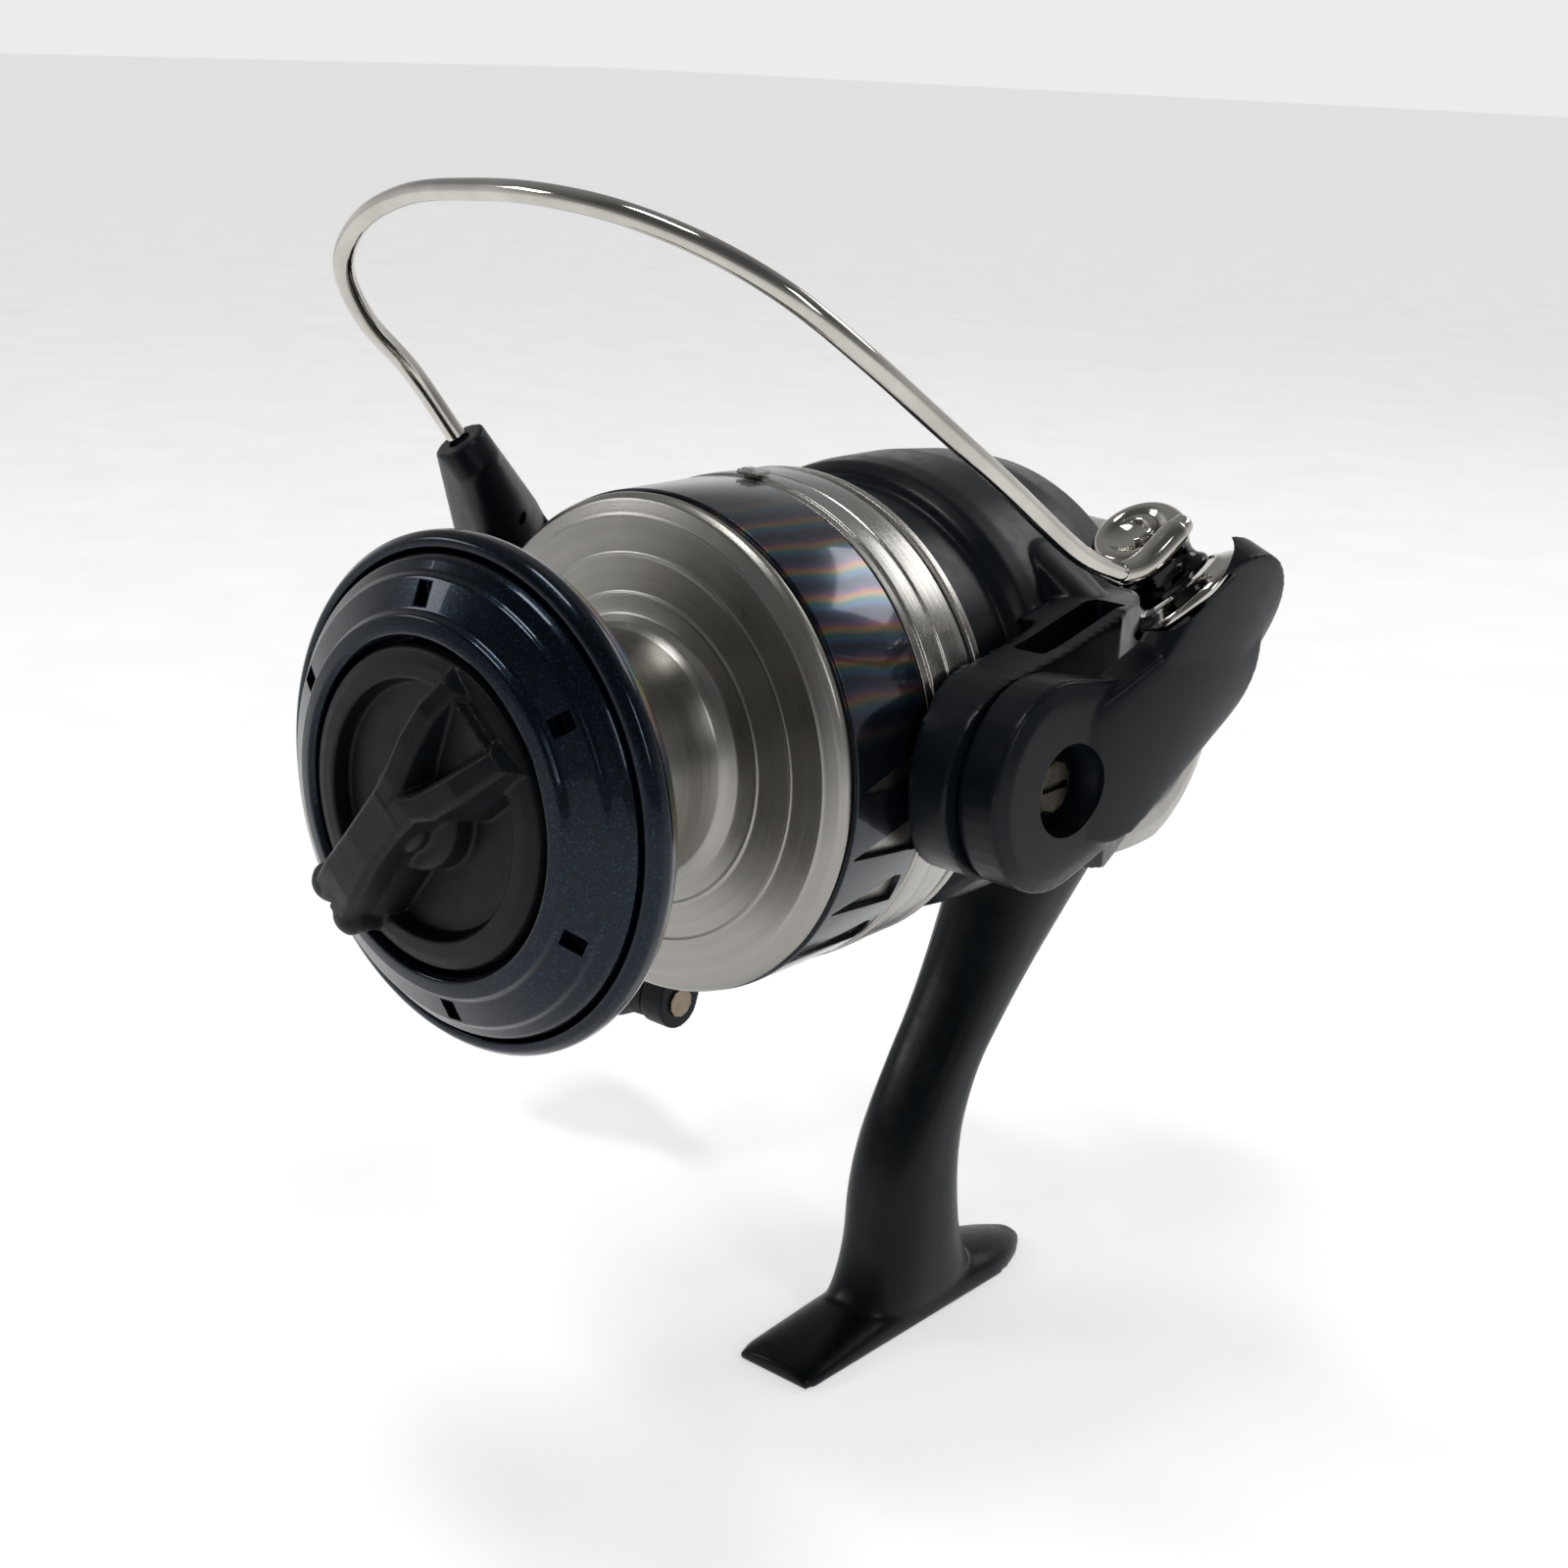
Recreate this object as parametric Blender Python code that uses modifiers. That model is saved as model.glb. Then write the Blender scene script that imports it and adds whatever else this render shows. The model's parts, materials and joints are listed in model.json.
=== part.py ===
"""Spinning reel, front drag, size class 6000 to 8000.

Frame: metres, +Z up.  The origin is the centre of the foot's flat bottom face, the
face that lies in the rod's reel seat.  The spool axis runs along Y at height AXIS_Z,
the front of the reel (spool and drag knob) looks to -Y, the handle is on the -X side.

Shapes are drawn in millimetres in the "axis frame": y = 0 at the front edge of the
spool lip, z = 0 on the spool axis, x = 0 on the centre plane.
"""
import math
import bpy
import bmesh
from mathutils import Matrix, Vector

# ----------------------------------------------------------------- dimensions (mm)
MM = 0.001
AXIS_Z = 95.5          # spool axis above the foot face
LIP_Y = -82.0          # front edge of the spool lip in the row frame
GAP = 0.3              # running gap between touching pieces

LIP_R = 29.0           # spool lip, outer radius
ARBOR_R = 14.3
SKIRT_R = 29.95
SKIRT_END = 55.2
PIVOT_Y = 51.0         # bail pivot axis, along X through z = 0
ARM_X = 36.8           # outer face of the rotor arms
CRANK_Y, CRANK_Z = 108.0, -8.0
OSC_Y, OSC_Z = 118.6, -10.1
SHAFT_R = 2.0
FOOT_W, FOOT_FRONT, FOOT_REAR = 6.6, -26.8, 28.8

N_PINION, N_DRIVE = 9, 38
PINION_R = 3.9         # pitch radius
MESH_S = 16.5          # distance of the mesh point in front of the crank axis
N_STEP, N_OSC = 12, 24
OSC_PIN_R = 5.5        # cam pin radius on the oscillating gear

# roller axis: centre of the collar seat and direction towards the nose cap
ROLL_C = Vector((43.2, 73.5, 18.8))
ROLL_V = Vector((-0.60, -0.35, 0.72)).normalized()

# bail wire: route points from the left lever to the nose cap
WIRE = [(-31.5, 26.7, 32.4), (-33.6, 21.6, 40.3), (-33.4, 14.6, 46.9), (-30.4, 9.2, 53.3),
        (-24.3, 6.8, 58.7), (-14.8, 5.4, 62.2), (-3.0, 3.9, 63.5), (8.5, 2.5, 63.8),
        (18.7, 3.2, 62.8), (27.8, 5.9, 60.1), (34.6, 10.1, 56.0), (38.5, 16.9, 50.3),
        (40.5, 26.2, 43.5), (41.9, 37.1, 36.0), (42.4, 50.2, 27.4), (42.6, 57.8, 24.1),
        (42.5, 62.3, 22.9)]
WIRE_R = 1.2

# ----------------------------------------------------------------- scene set-up
for o in list(bpy.data.objects):
    bpy.data.objects.remove(o, do_unlink=True)
COL = bpy.data.collections.new("spinning_reel")
CUT = bpy.data.collections.new("cutters")
bpy.context.scene.collection.children.link(COL)
bpy.context.scene.collection.children.link(CUT)


def material(name, colour, rough, metal):
    m = bpy.data.materials.new(name)
    m.use_nodes = True
    b = m.node_tree.nodes["Principled BSDF"]
    b.inputs["Base Color"].default_value = (*colour, 1)
    b.inputs["Roughness"].default_value = rough
    b.inputs["Metallic"].default_value = metal
    m.diffuse_color = (*colour, 1)
    return m


MAT = {
    "satin_black": material("satin_black", (0.013, 0.016, 0.020), 0.45, 0.0),
    "gloss_navy": material("gloss_navy", (0.008, 0.012, 0.022), 0.15, 0.4),
    "spool_alu": material("spool_alu", (0.36, 0.34, 0.31), 0.35, 1.0),
    "chrome": material("chrome", (0.62, 0.59, 0.55), 0.10, 1.0),
    "steel": material("steel", (0.45, 0.45, 0.45), 0.30, 1.0),
    "grey_cover": material("grey_cover", (0.37, 0.35, 0.32), 0.40, 0.3),
    "brass": material("brass", (0.60, 0.42, 0.16), 0.35, 1.0),
    "cast_zinc": material("cast_zinc", (0.32, 0.32, 0.33), 0.45, 1.0),
    "felt": material("felt", (0.10, 0.09, 0.08), 0.95, 0.0),
    "rubber": material("rubber", (0.02, 0.02, 0.02), 0.80, 0.0),
    "nylon": material("nylon", (0.70, 0.68, 0.62), 0.55, 0.0),
    "roller": material("roller", (0.03, 0.03, 0.032), 0.20, 0.6),
}


def W(p):
    """Axis frame in mm to the row frame in metres."""
    return Vector((p[0], p[1] + LIP_Y, p[2] + AXIS_Z)) * MM


# ----------------------------------------------------------------- mesh helpers
def bm_object(bm, name="work"):
    me = bpy.data.meshes.new(name)
    bm.to_mesh(me)
    bm.free()
    o = bpy.data.objects.new(name, me)
    COL.objects.link(o)
    return o


def tidy(o, facing=True):
    """Weld, drop loose geometry and turn the faces out."""
    bm = bmesh.new()
    bm.from_mesh(o.data)
    bmesh.ops.remove_doubles(bm, verts=bm.verts, dist=2e-6)
    bmesh.ops.dissolve_degenerate(bm, dist=1e-6, edges=bm.edges)
    if facing:
        bmesh.ops.recalc_face_normals(bm, faces=bm.faces)
    bm.to_mesh(o.data)
    bm.free()
    return o


def bake(o):
    """Replace the object's mesh by its evaluated mesh."""
    bpy.context.view_layer.update()
    dg = bpy.context.evaluated_depsgraph_get()
    me = bpy.data.meshes.new_from_object(o.evaluated_get(dg))
    new = bpy.data.objects.new(o.name, me)
    new.matrix_world = o.matrix_world
    COL.objects.link(new)
    bpy.data.objects.remove(o, do_unlink=True)
    me.transform(new.matrix_world)
    new.matrix_world = Matrix()
    return new


def boolean(o, other, op):
    m = o.modifiers.new(op.lower(), "BOOLEAN")
    m.operation = op
    m.solver = "EXACT"
    m.object = other
    COL.objects.unlink(other)
    CUT.objects.link(other)
    other.hide_render = True
    other.display_type = "WIRE"
    new = bake(o)
    bpy.data.objects.remove(other, do_unlink=True)
    return tidy(new, False)


def cut(o, *cutters):
    for c in cutters:
        o = boolean(o, c, "DIFFERENCE")
    return o


def join(o, *others):
    for c in others:
        o = boolean(o, c, "UNION")
    return o


def keep(o, other):
    return boolean(o, other, "INTERSECT")


AXES = {"X": Matrix.Rotation(math.radians(90), 4, "Y"),
        "Y": Matrix.Rotation(math.radians(-90), 4, "X"),
        "Z": Matrix()}


def frame_of(axis, at):
    """Matrix that puts local +Z on an axis letter or a direction, at a point (mm)."""
    if isinstance(axis, str):
        r = AXES[axis]
    else:
        r = Vector(axis).normalized().to_track_quat("Z", "Y").to_matrix().to_4x4()
    return Matrix.Translation(W(at)) @ r


def turned(profile, axis="Y", at=(0, 0, 0), seg=20, ring=True):
    """A (radius, height) profile in mm turned with a Screw modifier."""
    me = bpy.data.meshes.new("turned")
    pts = [(r * MM, 0, h * MM) for r, h in profile]
    n = len(pts)
    edges = [(i, i + 1) for i in range(n - 1)] + ([(n - 1, 0)] if ring else [])
    me.from_pydata(pts, edges, [])
    o = bpy.data.objects.new("turned", me)
    COL.objects.link(o)
    s = o.modifiers.new("screw", "SCREW")
    s.angle, s.steps, s.render_steps, s.axis = math.tau, seg, seg, "Z"
    s.use_merge_vertices, s.merge_threshold = True, 2e-6
    o.matrix_world = frame_of(axis, at)
    return tidy(bake(o))


def rod(r, h0, h1, axis="Y", at=(0, 0, 0), seg=12, r2=None, bevel=0.0):
    """Solid round bar from h0 to h1 along the axis, with small chamfers."""
    r2 = r if r2 is None else r2
    if bevel:
        prof = [(0, h1), (r2 - bevel, h1), (r2, h1 - bevel), (r, h0 + bevel), (r - bevel, h0), (0, h0)]
    else:
        prof = [(0, h1), (r2, h1), (r, h0), (0, h0)]
    return turned(prof, axis, at, seg, ring=False)


def tube(r0, r1, h0, h1, axis="Y", at=(0, 0, 0), seg=12, bevel=0.0):
    """Ring with inner radius r0 and outer radius r1."""
    if bevel:
        prof = [(r0, h1), (r1 - bevel, h1), (r1, h1 - bevel), (r1, h0 + bevel), (r1 - bevel, h0), (r0, h0)]
    else:
        prof = [(r0, h1), (r1, h1), (r1, h0), (r0, h0)]
    return turned(prof, axis, at, seg)


def box(x0, x1, y0, y1, z0, z1, bevel=0.0, turn=None, at=None):
    """Box in the axis frame; turn = (degrees, axis letter) about the point at."""
    bm = bmesh.new()
    bmesh.ops.create_cube(bm, size=1.0)
    c = Vector(((x0 + x1) / 2, (y0 + y1) / 2, (z0 + z1) / 2))
    d = Vector((x1 - x0, y1 - y0, z1 - z0)) * MM
    for v in bm.verts:
        v.co = Vector((v.co.x * d.x, v.co.y * d.y, v.co.z * d.z)) + W(c)
    if bevel:
        bmesh.ops.bevel(bm, geom=bm.edges[:], offset=bevel * MM, segments=1, affect="EDGES", profile=0.5)
    if turn:
        p = W(at)
        m = Matrix.Translation(p) @ Matrix.Rotation(math.radians(turn[0]), 4, turn[1]) @ Matrix.Translation(-p)
        bmesh.ops.transform(bm, matrix=m, verts=bm.verts)
    return bm_object(bm)


def prism(outline, axis, h0, h1, at=(0, 0, 0)):
    """Flat outline (u, v) in mm extruded along an axis.  X: u=y, v=z.  Y: u=x, v=z."""
    bm = bmesh.new()
    low, top = [], []
    for u, v in outline:
        for ring, h in ((low, h0), (top, h1)):
            p = (h, u, v) if axis == "X" else (u, h, v) if axis == "Y" else (u, v, h)
            ring.append(bm.verts.new(W(Vector(p) + Vector(at))))
    bm.faces.new(low)
    bm.faces.new(top)
    n = len(outline)
    for i in range(n):
        bm.faces.new((low[i], low[(i + 1) % n], top[(i + 1) % n], top[i]))
    bmesh.ops.recalc_face_normals(bm, faces=bm.faces)
    return bm_object(bm)


def disc_points(c, axis, r, h, n=12):
    """Points of a short round disc, used as one end of a hull."""
    m = frame_of(axis, c)
    return [m @ Vector((r * MM * math.cos(math.tau * i / n), r * MM * math.sin(math.tau * i / n), s * MM))
            for i in range(n) for s in (-h / 2, h / 2)]


def hull(*discs):
    """Convex hull of several discs (centre, axis, radius, thickness)."""
    return hull_world([p for d in discs for p in disc_points(*d)])


def hull_of(pts):
    """Convex hull of points in mm."""
    return hull_world([W(p) for p in pts])


def hull_world(pts):
    bm = bmesh.new()
    for p in pts:
        bm.verts.new(p)
    r = bmesh.ops.convex_hull(bm, input=bm.verts)
    gone = {e for e in r["geom_interior"] + r["geom_unused"] if isinstance(e, bmesh.types.BMVert)}
    bmesh.ops.delete(bm, geom=list(gone), context="VERTS")
    bmesh.ops.dissolve_limit(bm, angle_limit=0.01, verts=bm.verts, edges=bm.edges)
    bmesh.ops.recalc_face_normals(bm, faces=bm.faces)
    return bm_object(bm)


def smooth_route(pts, per=4):
    """Catmull-Rom curve through the route points."""
    P = [Vector(p) for p in pts]
    P = [2 * P[0] - P[1]] + P + [2 * P[-1] - P[-2]]
    out = []
    for i in range(1, len(P) - 2):
        for k in range(per):
            t = k / per
            a, b, c, d = P[i - 1], P[i], P[i + 1], P[i + 2]
            out.append(0.5 * ((2 * b) + (c - a) * t + (2 * a - 5 * b + 4 * c - d) * t * t
                              + (3 * b - a - 3 * c + d) * t ** 3))
    out.append(P[-2])
    return out


def wire(pts, r, res=2):
    """Round wire along points in mm: a POLY curve with a bevel and filled caps, made a mesh."""
    cu = bpy.data.curves.new("wire", "CURVE")
    cu.dimensions = "3D"
    sp = cu.splines.new("POLY")
    sp.points.add(len(pts) - 1)
    for q, p in zip(sp.points, pts):
        q.co = (*W(p), 1)
    cu.bevel_depth, cu.bevel_resolution, cu.use_fill_caps = r * MM, res, True
    o = bpy.data.objects.new("wire", cu)
    COL.objects.link(o)
    return tidy(bake(o))


def loft(sections):
    """Closed loft through rings of equal point count, in mm."""
    bm = bmesh.new()
    rings = [[bm.verts.new(W(p)) for p in s] for s in sections]
    for a, b in zip(rings, rings[1:]):
        n = len(a)
        for i in range(n):
            bm.faces.new((a[i], a[(i + 1) % n], b[(i + 1) % n], b[i]))
    bm.faces.new(rings[0])
    bm.faces.new(rings[-1])
    bmesh.ops.recalc_face_normals(bm, faces=bm.faces)
    return bm_object(bm)


def rounded(a, b, n=16, power=3.2):
    """Superellipse outline with half sizes a and b."""
    out = []
    for i in range(n):
        t = math.tau * (i + 0.5) / n
        c, s = math.cos(t), math.sin(t)
        out.append((a * math.copysign(abs(c) ** (2 / power), c), b * math.copysign(abs(s) ** (2 / power), s)))
    return out


def toothed(n, root, tip, land=0.42, phase=0.0):
    """Outline of a toothed wheel, straight-sided teeth."""
    out = []
    for i in range(n):
        for f, r in ((-0.5 * land - 0.16, root), (-0.5 * land + 0.06, tip), (0.5 * land - 0.06, tip), (0.5 * land + 0.16, root)):
            a = math.tau * (i + f) / n + phase
            out.append((r * math.cos(a), r * math.sin(a)))
    return out


AXIS_POINT = {}        # a point on each moving body's joint axis


def joint_at(name, at):
    AXIS_POINT[name] = W(at)


def part(o, name, mat, body=None):
    """Name a finished solid, give it its material and put its origin on its joint axis."""
    o.name = name
    o.data.name = name
    o.data.materials.clear()
    o.data.materials.append(MAT[mat])
    origin = AXIS_POINT.get(body, Vector((0, 0, 0)))
    o.data.transform(Matrix.Translation(-origin))
    o.location = origin
    o.data.shade_smooth()
    o.data.set_sharp_from_angle(angle=math.radians(35))
    return o


joint_at("main_shaft", (0, 0, 0))
joint_at("spool", (0, 0, 0))
joint_at("drag_knob", (0, 0, 0))
joint_at("rotor", (0, 70, 0))
joint_at("bail", (0, PIVOT_Y, 0))
joint_at("line_roller", tuple(ROLL_C))
joint_at("crank", (0, CRANK_Y, CRANK_Z))
joint_at("handle_knob", (-56, 90.0, -66.0))
joint_at("oscillating_gear", (0, OSC_Y, OSC_Z))
joint_at("kick_lever", (33.5, 70.0, -9.0))

# ================================================================= SPOOL
lip = turned([(12.3, 4.9), (15.0, 4.9), (27.5, 4.2), (28.6, 2.6), (29.0, 1.2), (29.0, 0.0), (28.3, -0.9),
              (27.1, -0.9), (27.1, 1.6), (12.3, 1.6)], seg=24)
part(lip, "spool_lip", "gloss_navy", "spool")

cover = turned([(18.4, 1.3), (26.8, 1.3), (26.8, -1.0), (26.2, -1.9), (24.2, -3.0), (23.8, -4.1), (21.2, -4.9),
                (20.8, -5.9), (19.2, -6.3), (18.4, -5.6)], seg=24)
for k in range(6):
    a = math.radians(35 + 60 * k)
    c = (22.6 * math.cos(a), 22.6 * math.sin(a))
    cover = cut(cover, box(c[0] - 1.3, c[0] + 1.3, -6.0, -2.2, c[1] - 0.8, c[1] + 0.8,
                           turn=(-(35 + 60 * k), "Y"), at=(c[0], 0, c[1])))
part(cover, "front_cover", "gloss_navy", "spool")

spool = turned([(29.15, 43.3), (29.15, 29.8), (29.7, 29.0), (29.1, 27.9), (27.4, 27.25), (22.9, 26.9),
                (18.4, 26.4), (15.8, 25.5), (14.7, 24.2), (ARBOR_R, 22.6), (ARBOR_R, 5.2), (12.0, 5.2),
                (11.8, 17.6), (3.7, 17.6), (3.7, 22.0), (8.0, 22.0), (9.5, 26.5), (16.0, 28.6), (26.2, 29.4), (28.0, 31.0),
                (28.0, 43.3)], seg=24)
part(spool, "spool_body", "spool_alu", "spool")

band = tube(29.42, SKIRT_R, 30.1, 43.1, seg=24)
for k in range(7):
    # tapering windows in the lower half of the skirt band, sharp end to the front
    tip_a = 1.0 - 15.0 * k
    pts = [(r * math.cos(math.radians(t)), y, r * math.sin(math.radians(t)))
           for t, y in ((tip_a - 0.5, 31.2), (tip_a + 0.5, 31.2), (tip_a + 5.4, 41.2), (tip_a - 2.6, 42.2)) for r in (28.4, 31.2)]
    band = cut(band, hull_of(pts))
part(band, "skirt_band", "gloss_navy", "spool")

ring = turned([(29.95, 52.4), (29.95, 48.3), (30.1, 47.6), (30.1, 43.8), (29.8, 43.45), (28.0, 43.45), (28.0, 55.2), (29.6, 55.2),
               (29.9, 54.8), (29.9, 53.7), (29.1, 53.5), (29.1, 52.6)], seg=24)
part(ring, "skirt_ring", "spool_alu", "spool")

clip = join(box(-1.6, 1.6, 43.9, 46.6, 30.25, 30.75, 0.15), box(-0.9, 0.9, 43.9, 44.7, 30.25, 31.1, 0.12))
part(clip, "line_clip", "nylon", "spool")

part(tube(2.25, 3.4, 17.9, 22.0, seg=10), "spool_bushing", "brass", "spool")
part(turned([(4.0, 14.6), (11.4, 14.6), (11.4, 13.4), (4.0, 13.4)], seg=12), "drag_washer_rear", "felt", "spool")
eared = tube(2.5, 10.2, 12.3, 13.1, seg=12)
eared = join(eared, box(-11.4, 11.4, 12.3, 13.1, -1.6, 1.6))
eared = cut(eared, rod(2.5, 11, 15, seg=12))
part(eared, "drag_plate_eared", "steel", "spool")
part(tube(4.0, 11.4, 10.8, 12.0, seg=12), "drag_washer_middle", "felt", "spool")
keyed = prism([(11.0 * math.cos(math.tau * i / 24), 11.0 * math.sin(math.tau * i / 24)) for i in range(24)], "Y", 9.7, 10.5)
keyed = cut(keyed, prism([(2.4 * math.cos(math.tau * (i + .5) / 6), 2.4 * math.sin(math.tau * (i + .5) / 6)) for i in range(6)], "Y", 9, 11))
part(keyed, "drag_plate_keyed", "steel", "main_shaft")
part(tube(4.0, 11.4, 8.2, 9.4, seg=12), "drag_washer_front", "felt", "spool")
part(tube(5.2, 11.2, 7.1, 7.9, seg=12), "drag_pressure_plate", "steel", "spool")
clipr = tube(10.9, 11.7, 5.9, 6.7, seg=12)
clipr = cut(clipr, box(-1.0, 1.0, 5.5, 7.0, 10, 13))
part(clipr, "drag_retainer", "steel", "spool")

click = prism(toothed(14, 6.3, 7.4), "Y", 23.0, 25.0)
click = cut(click, rod(2.25, 22, 26, seg=10))
part(click, "click_gear", "nylon", "main_shaft")
pawl = join(box(8.0, 12.6, 27.0, 28.2, -1.0, 1.0, 0.2), box(8.0, 8.9, 23.4, 28.2, -0.8, 0.8, 0.2))
pawl = cut(pawl, rod(0.9, 26, 30, at=(11.2, 0, 0), seg=10))
# part of the spool's own ratchet: sits in the dished back of the dome
pawl.data.transform(Matrix.Translation(Vector((0.0, 1.6, 0.0)) * MM))

# ----- main shaft and what is fixed to it
shaft = turned([(0, 119.3), (1.7, 119.3), (SHAFT_R, 119.0), (SHAFT_R, -4.0), (1.7, -4.4), (1.7, -8.6), (1.4, -9.0), (0, -9.0)], seg=12, ring=False)
part(shaft, "main_shaft", "steel", "main_shaft")
part(tube(2.25, 5.6, 26.6, 27.6, seg=10), "spool_seat_washer", "nylon", "main_shaft")
slider = box(-3.8, 3.2, 115.5, 118.7, -3.4, 3.4, 0.3)
slider = join(slider, box(-7.2, -3.4, 115.5, 118.7, -18.0, 3.4, 0.3))
slider = cut(slider, rod(SHAFT_R + GAP, 110, 128, seg=10), box(-9, -5.4, 116.0, 118.2, -17.0, -3.2))
part(slider, "oscillating_slider", "cast_zinc", "main_shaft")

# ----- drag knob
disc = turned([(0, -6.6), (15.4, -6.6), (17.4, -6.1), (17.9, -5.2), (17.9, 0.8), (16.6, 0.8), (16.6, -3.6), (5.6, -3.6), (5.6, 4.6),
               (4.4, 4.6), (4.4, -3.9), (0, -3.9)][::-1], seg=20, ring=False)
A_BAR = 47.0
rail = loft([[(-17.0 + 0.0, -6.0, s * 4.9 + t) for s, t in ((-1, 0), (1, 0))] +
             [(-16.2, -10.6, 3.2), (-16.2, -10.6, -3.2)],
             [(17.0, -6.0, -4.9), (17.0, -6.0, 4.9), (16.2, -10.6, 3.2), (16.2, -10.6, -3.2)]])
rail.data.transform(Matrix.Translation(W((0, 0, 0))) @ Matrix.Rotation(math.radians(-A_BAR), 4, "Y") @ Matrix.Translation(-W((0, 0, 0))))
top = box(-14.5, 12.0, -12.6, -10.0, -2.8, 2.8, 0.6, turn=(-A_BAR, "Y"), at=(0, 0, 0))
knob = join(disc, rail, top)
knob = cut(knob, box(5.0, 14.6, -14, -8.2, -1.5, 1.5, turn=(-A_BAR, "Y"), at=(0, 0, 0)))
knob = cut(knob, rod(2.15, -9.6, 6.0, seg=10))
part(knob, "drag_knob", "satin_black", "drag_knob")
nut = prism([(4.0 * math.cos(math.tau * i / 6), 4.0 * math.sin(math.tau * i / 6)) for i in range(6)], "Y", -3.3, -1.0)
nut = cut(nut, rod(2.35, -5, 1, seg=10))
spring_pts = []
for i in range(25):
    t = i / 6 * math.tau
    spring_pts.append((3.25 * math.cos(t), -0.2 + 4.4 * i / 24, 3.25 * math.sin(t)))
part(nut, "drag_nut", "brass", "drag_knob")
part(wire(spring_pts, 0.4, 0), "drag_spring", "steel", "drag_knob")

# ================================================================= ROTOR
cup = turned([(27.0, 64.6), (27.0, 40.2), (26.6, 39.8), (25.4, 39.8), (25.4, 59.6), (3.95, 59.6), (3.95, 66.0), (24.0, 66.0), (25.4, 69.0),
              (25.4, 92.4), (26.6, 93.4), (27.5, 92.8), (28.9, 86.0), (29.6, 78.0), (29.6, 68.4), (28.2, 65.2)][::-1], seg=28)


def rotor_arm(side):
    """Arm plate with its root shoulder on the cup, side = +1 or -1."""
    s = side
    out = []
    for i in range(13):
        a = math.radians(90 + 180 * i / 12)
        out.append((PIVOT_Y + 14.2 * math.cos(a), 12.2 * math.sin(a)))
    out += [(72.0, -16.4), (82.0, -16.0), (89.0, -10.0), (89.0, 10.0), (82.0, 16.0), (72.0, 16.4)]
    plate = prism(out, "X", min(s * 25.8, s * ARM_X), max(s * 25.8, s * ARM_X))
    # outer face runs back into the cup
    trim = prism([(s * 28.0, 95.0), (s * 50.0, 95.0), (s * 50.0, 70.0), (s * ARM_X, 70.0)], "Z", -30, 30)
    return cut(plate, trim, rod(31.5, 20.0, 64.9, seg=28))


rotor = cup
for s in (1, -1):
    rotor = join(rotor, rotor_arm(s))
for s in (1, -1):
    # spring pocket in the outer face and bore of the pivot screw
    lo, hi = sorted((s * 32.6, s * 40.0))
    rotor = cut(rotor, box(lo, hi, 60.5, 78.0, -7.0, 9.5), rod(1.55, 33.1 if s > 0 else -40, 40 if s > 0 else -33.1, "X", at=(0, PIVOT_Y, 0), seg=12))
for a in (-60, 60, 120, 240):
    c = (15.0 * math.cos(math.radians(a)), 15.0 * math.sin(math.radians(a)))
    rotor = cut(rotor, rod(3.0, 55, 70, at=(c[0], 0, c[1]), seg=12))
part(rotor, "rotor", "satin_black", "rotor")

nutp = [(6.4 * math.cos(math.tau * i / 6), 6.4 * math.sin(math.tau * i / 6)) for i in range(6)]
rnut = cut(join(prism(nutp, "Y", 55.4, 58.4), rod(8.2, 58.2, 59.3, seg=12)), rod(3.9, 50, 60, seg=10))
part(rnut, "rotor_nut", "steel", "rotor")

pin = turned([(2.4, 54.6), (3.6, 54.6), (3.6, 84.0), (3.6, 86.6), (3.1, 87.4), (3.1, 95.6), (2.4, 95.6)], seg=10)
teeth = prism(toothed(N_PINION, 2.9, 4.55, land=0.30, phase=math.radians(20)), "Y", 88.2, 95.2)
pin = join(pin, teeth)
pin = cut(pin, rod(2.4, 50, 99, seg=10))
part(pin, "pinion_gear", "brass", "rotor")
part(tube(3.9, 5.9, 70.4, 81.4, seg=10), "clutch_sleeve", "steel", "rotor")


coil = []
for i in range(43):
    t = i / 6 * math.tau
    coil.append((34.6 + 1.35 * math.cos(t), 62.2 + 12.2 * i / 42, 5.6 + 1.35 * math.sin(t)))
part(wire(coil, 0.3, 0), "bail_spring", "steel", "rotor")
guide = rod(0.75, 61.2, 76.8, "Y", at=(34.6, 0, 5.6), seg=8)
part(guide, "spring_guide", "chrome", "rotor")
for s, nm in ((1, "bail_pivot_screw_right"), (-1, "bail_pivot_screw_left")):
    # shank through the bail piece into the rotor arm, head in the counterbore
    prof = [(0, 41.6), (3.0, 41.6), (3.6, 41.2), (3.6, 39.9), (1.9, 39.9), (1.9, 36.95), (1.3, 36.95), (1.3, 33.4), (0, 33.4)]
    scr = turned([(r, s * h) for r, h in prof], "X", at=(0, PIVOT_Y, 0), seg=10, ring=False)
    lo, hi = sorted((s * 41.0, s * 43))
    scr = cut(scr, box(lo, hi, PIVOT_Y - 2.4, PIVOT_Y + 2.4, -0.45, 0.45))
    part(scr, nm, "steel", "rotor")
weight = box(-35.6, -32.9, 61.5, 76.5, -6.2, 8.6, 0.4)
part(weight, "balance_weight", "cast_zinc", "rotor")
kick = join(box(33.0, 34.2, 62.0, 76.0, -5.6, -3.2, 0.3), rod(2.0, 33.0, 34.2, "X", at=(0, 70.0, -4.4), seg=10))
part(kick, "kick_lever", "steel", "kick_lever")

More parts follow.
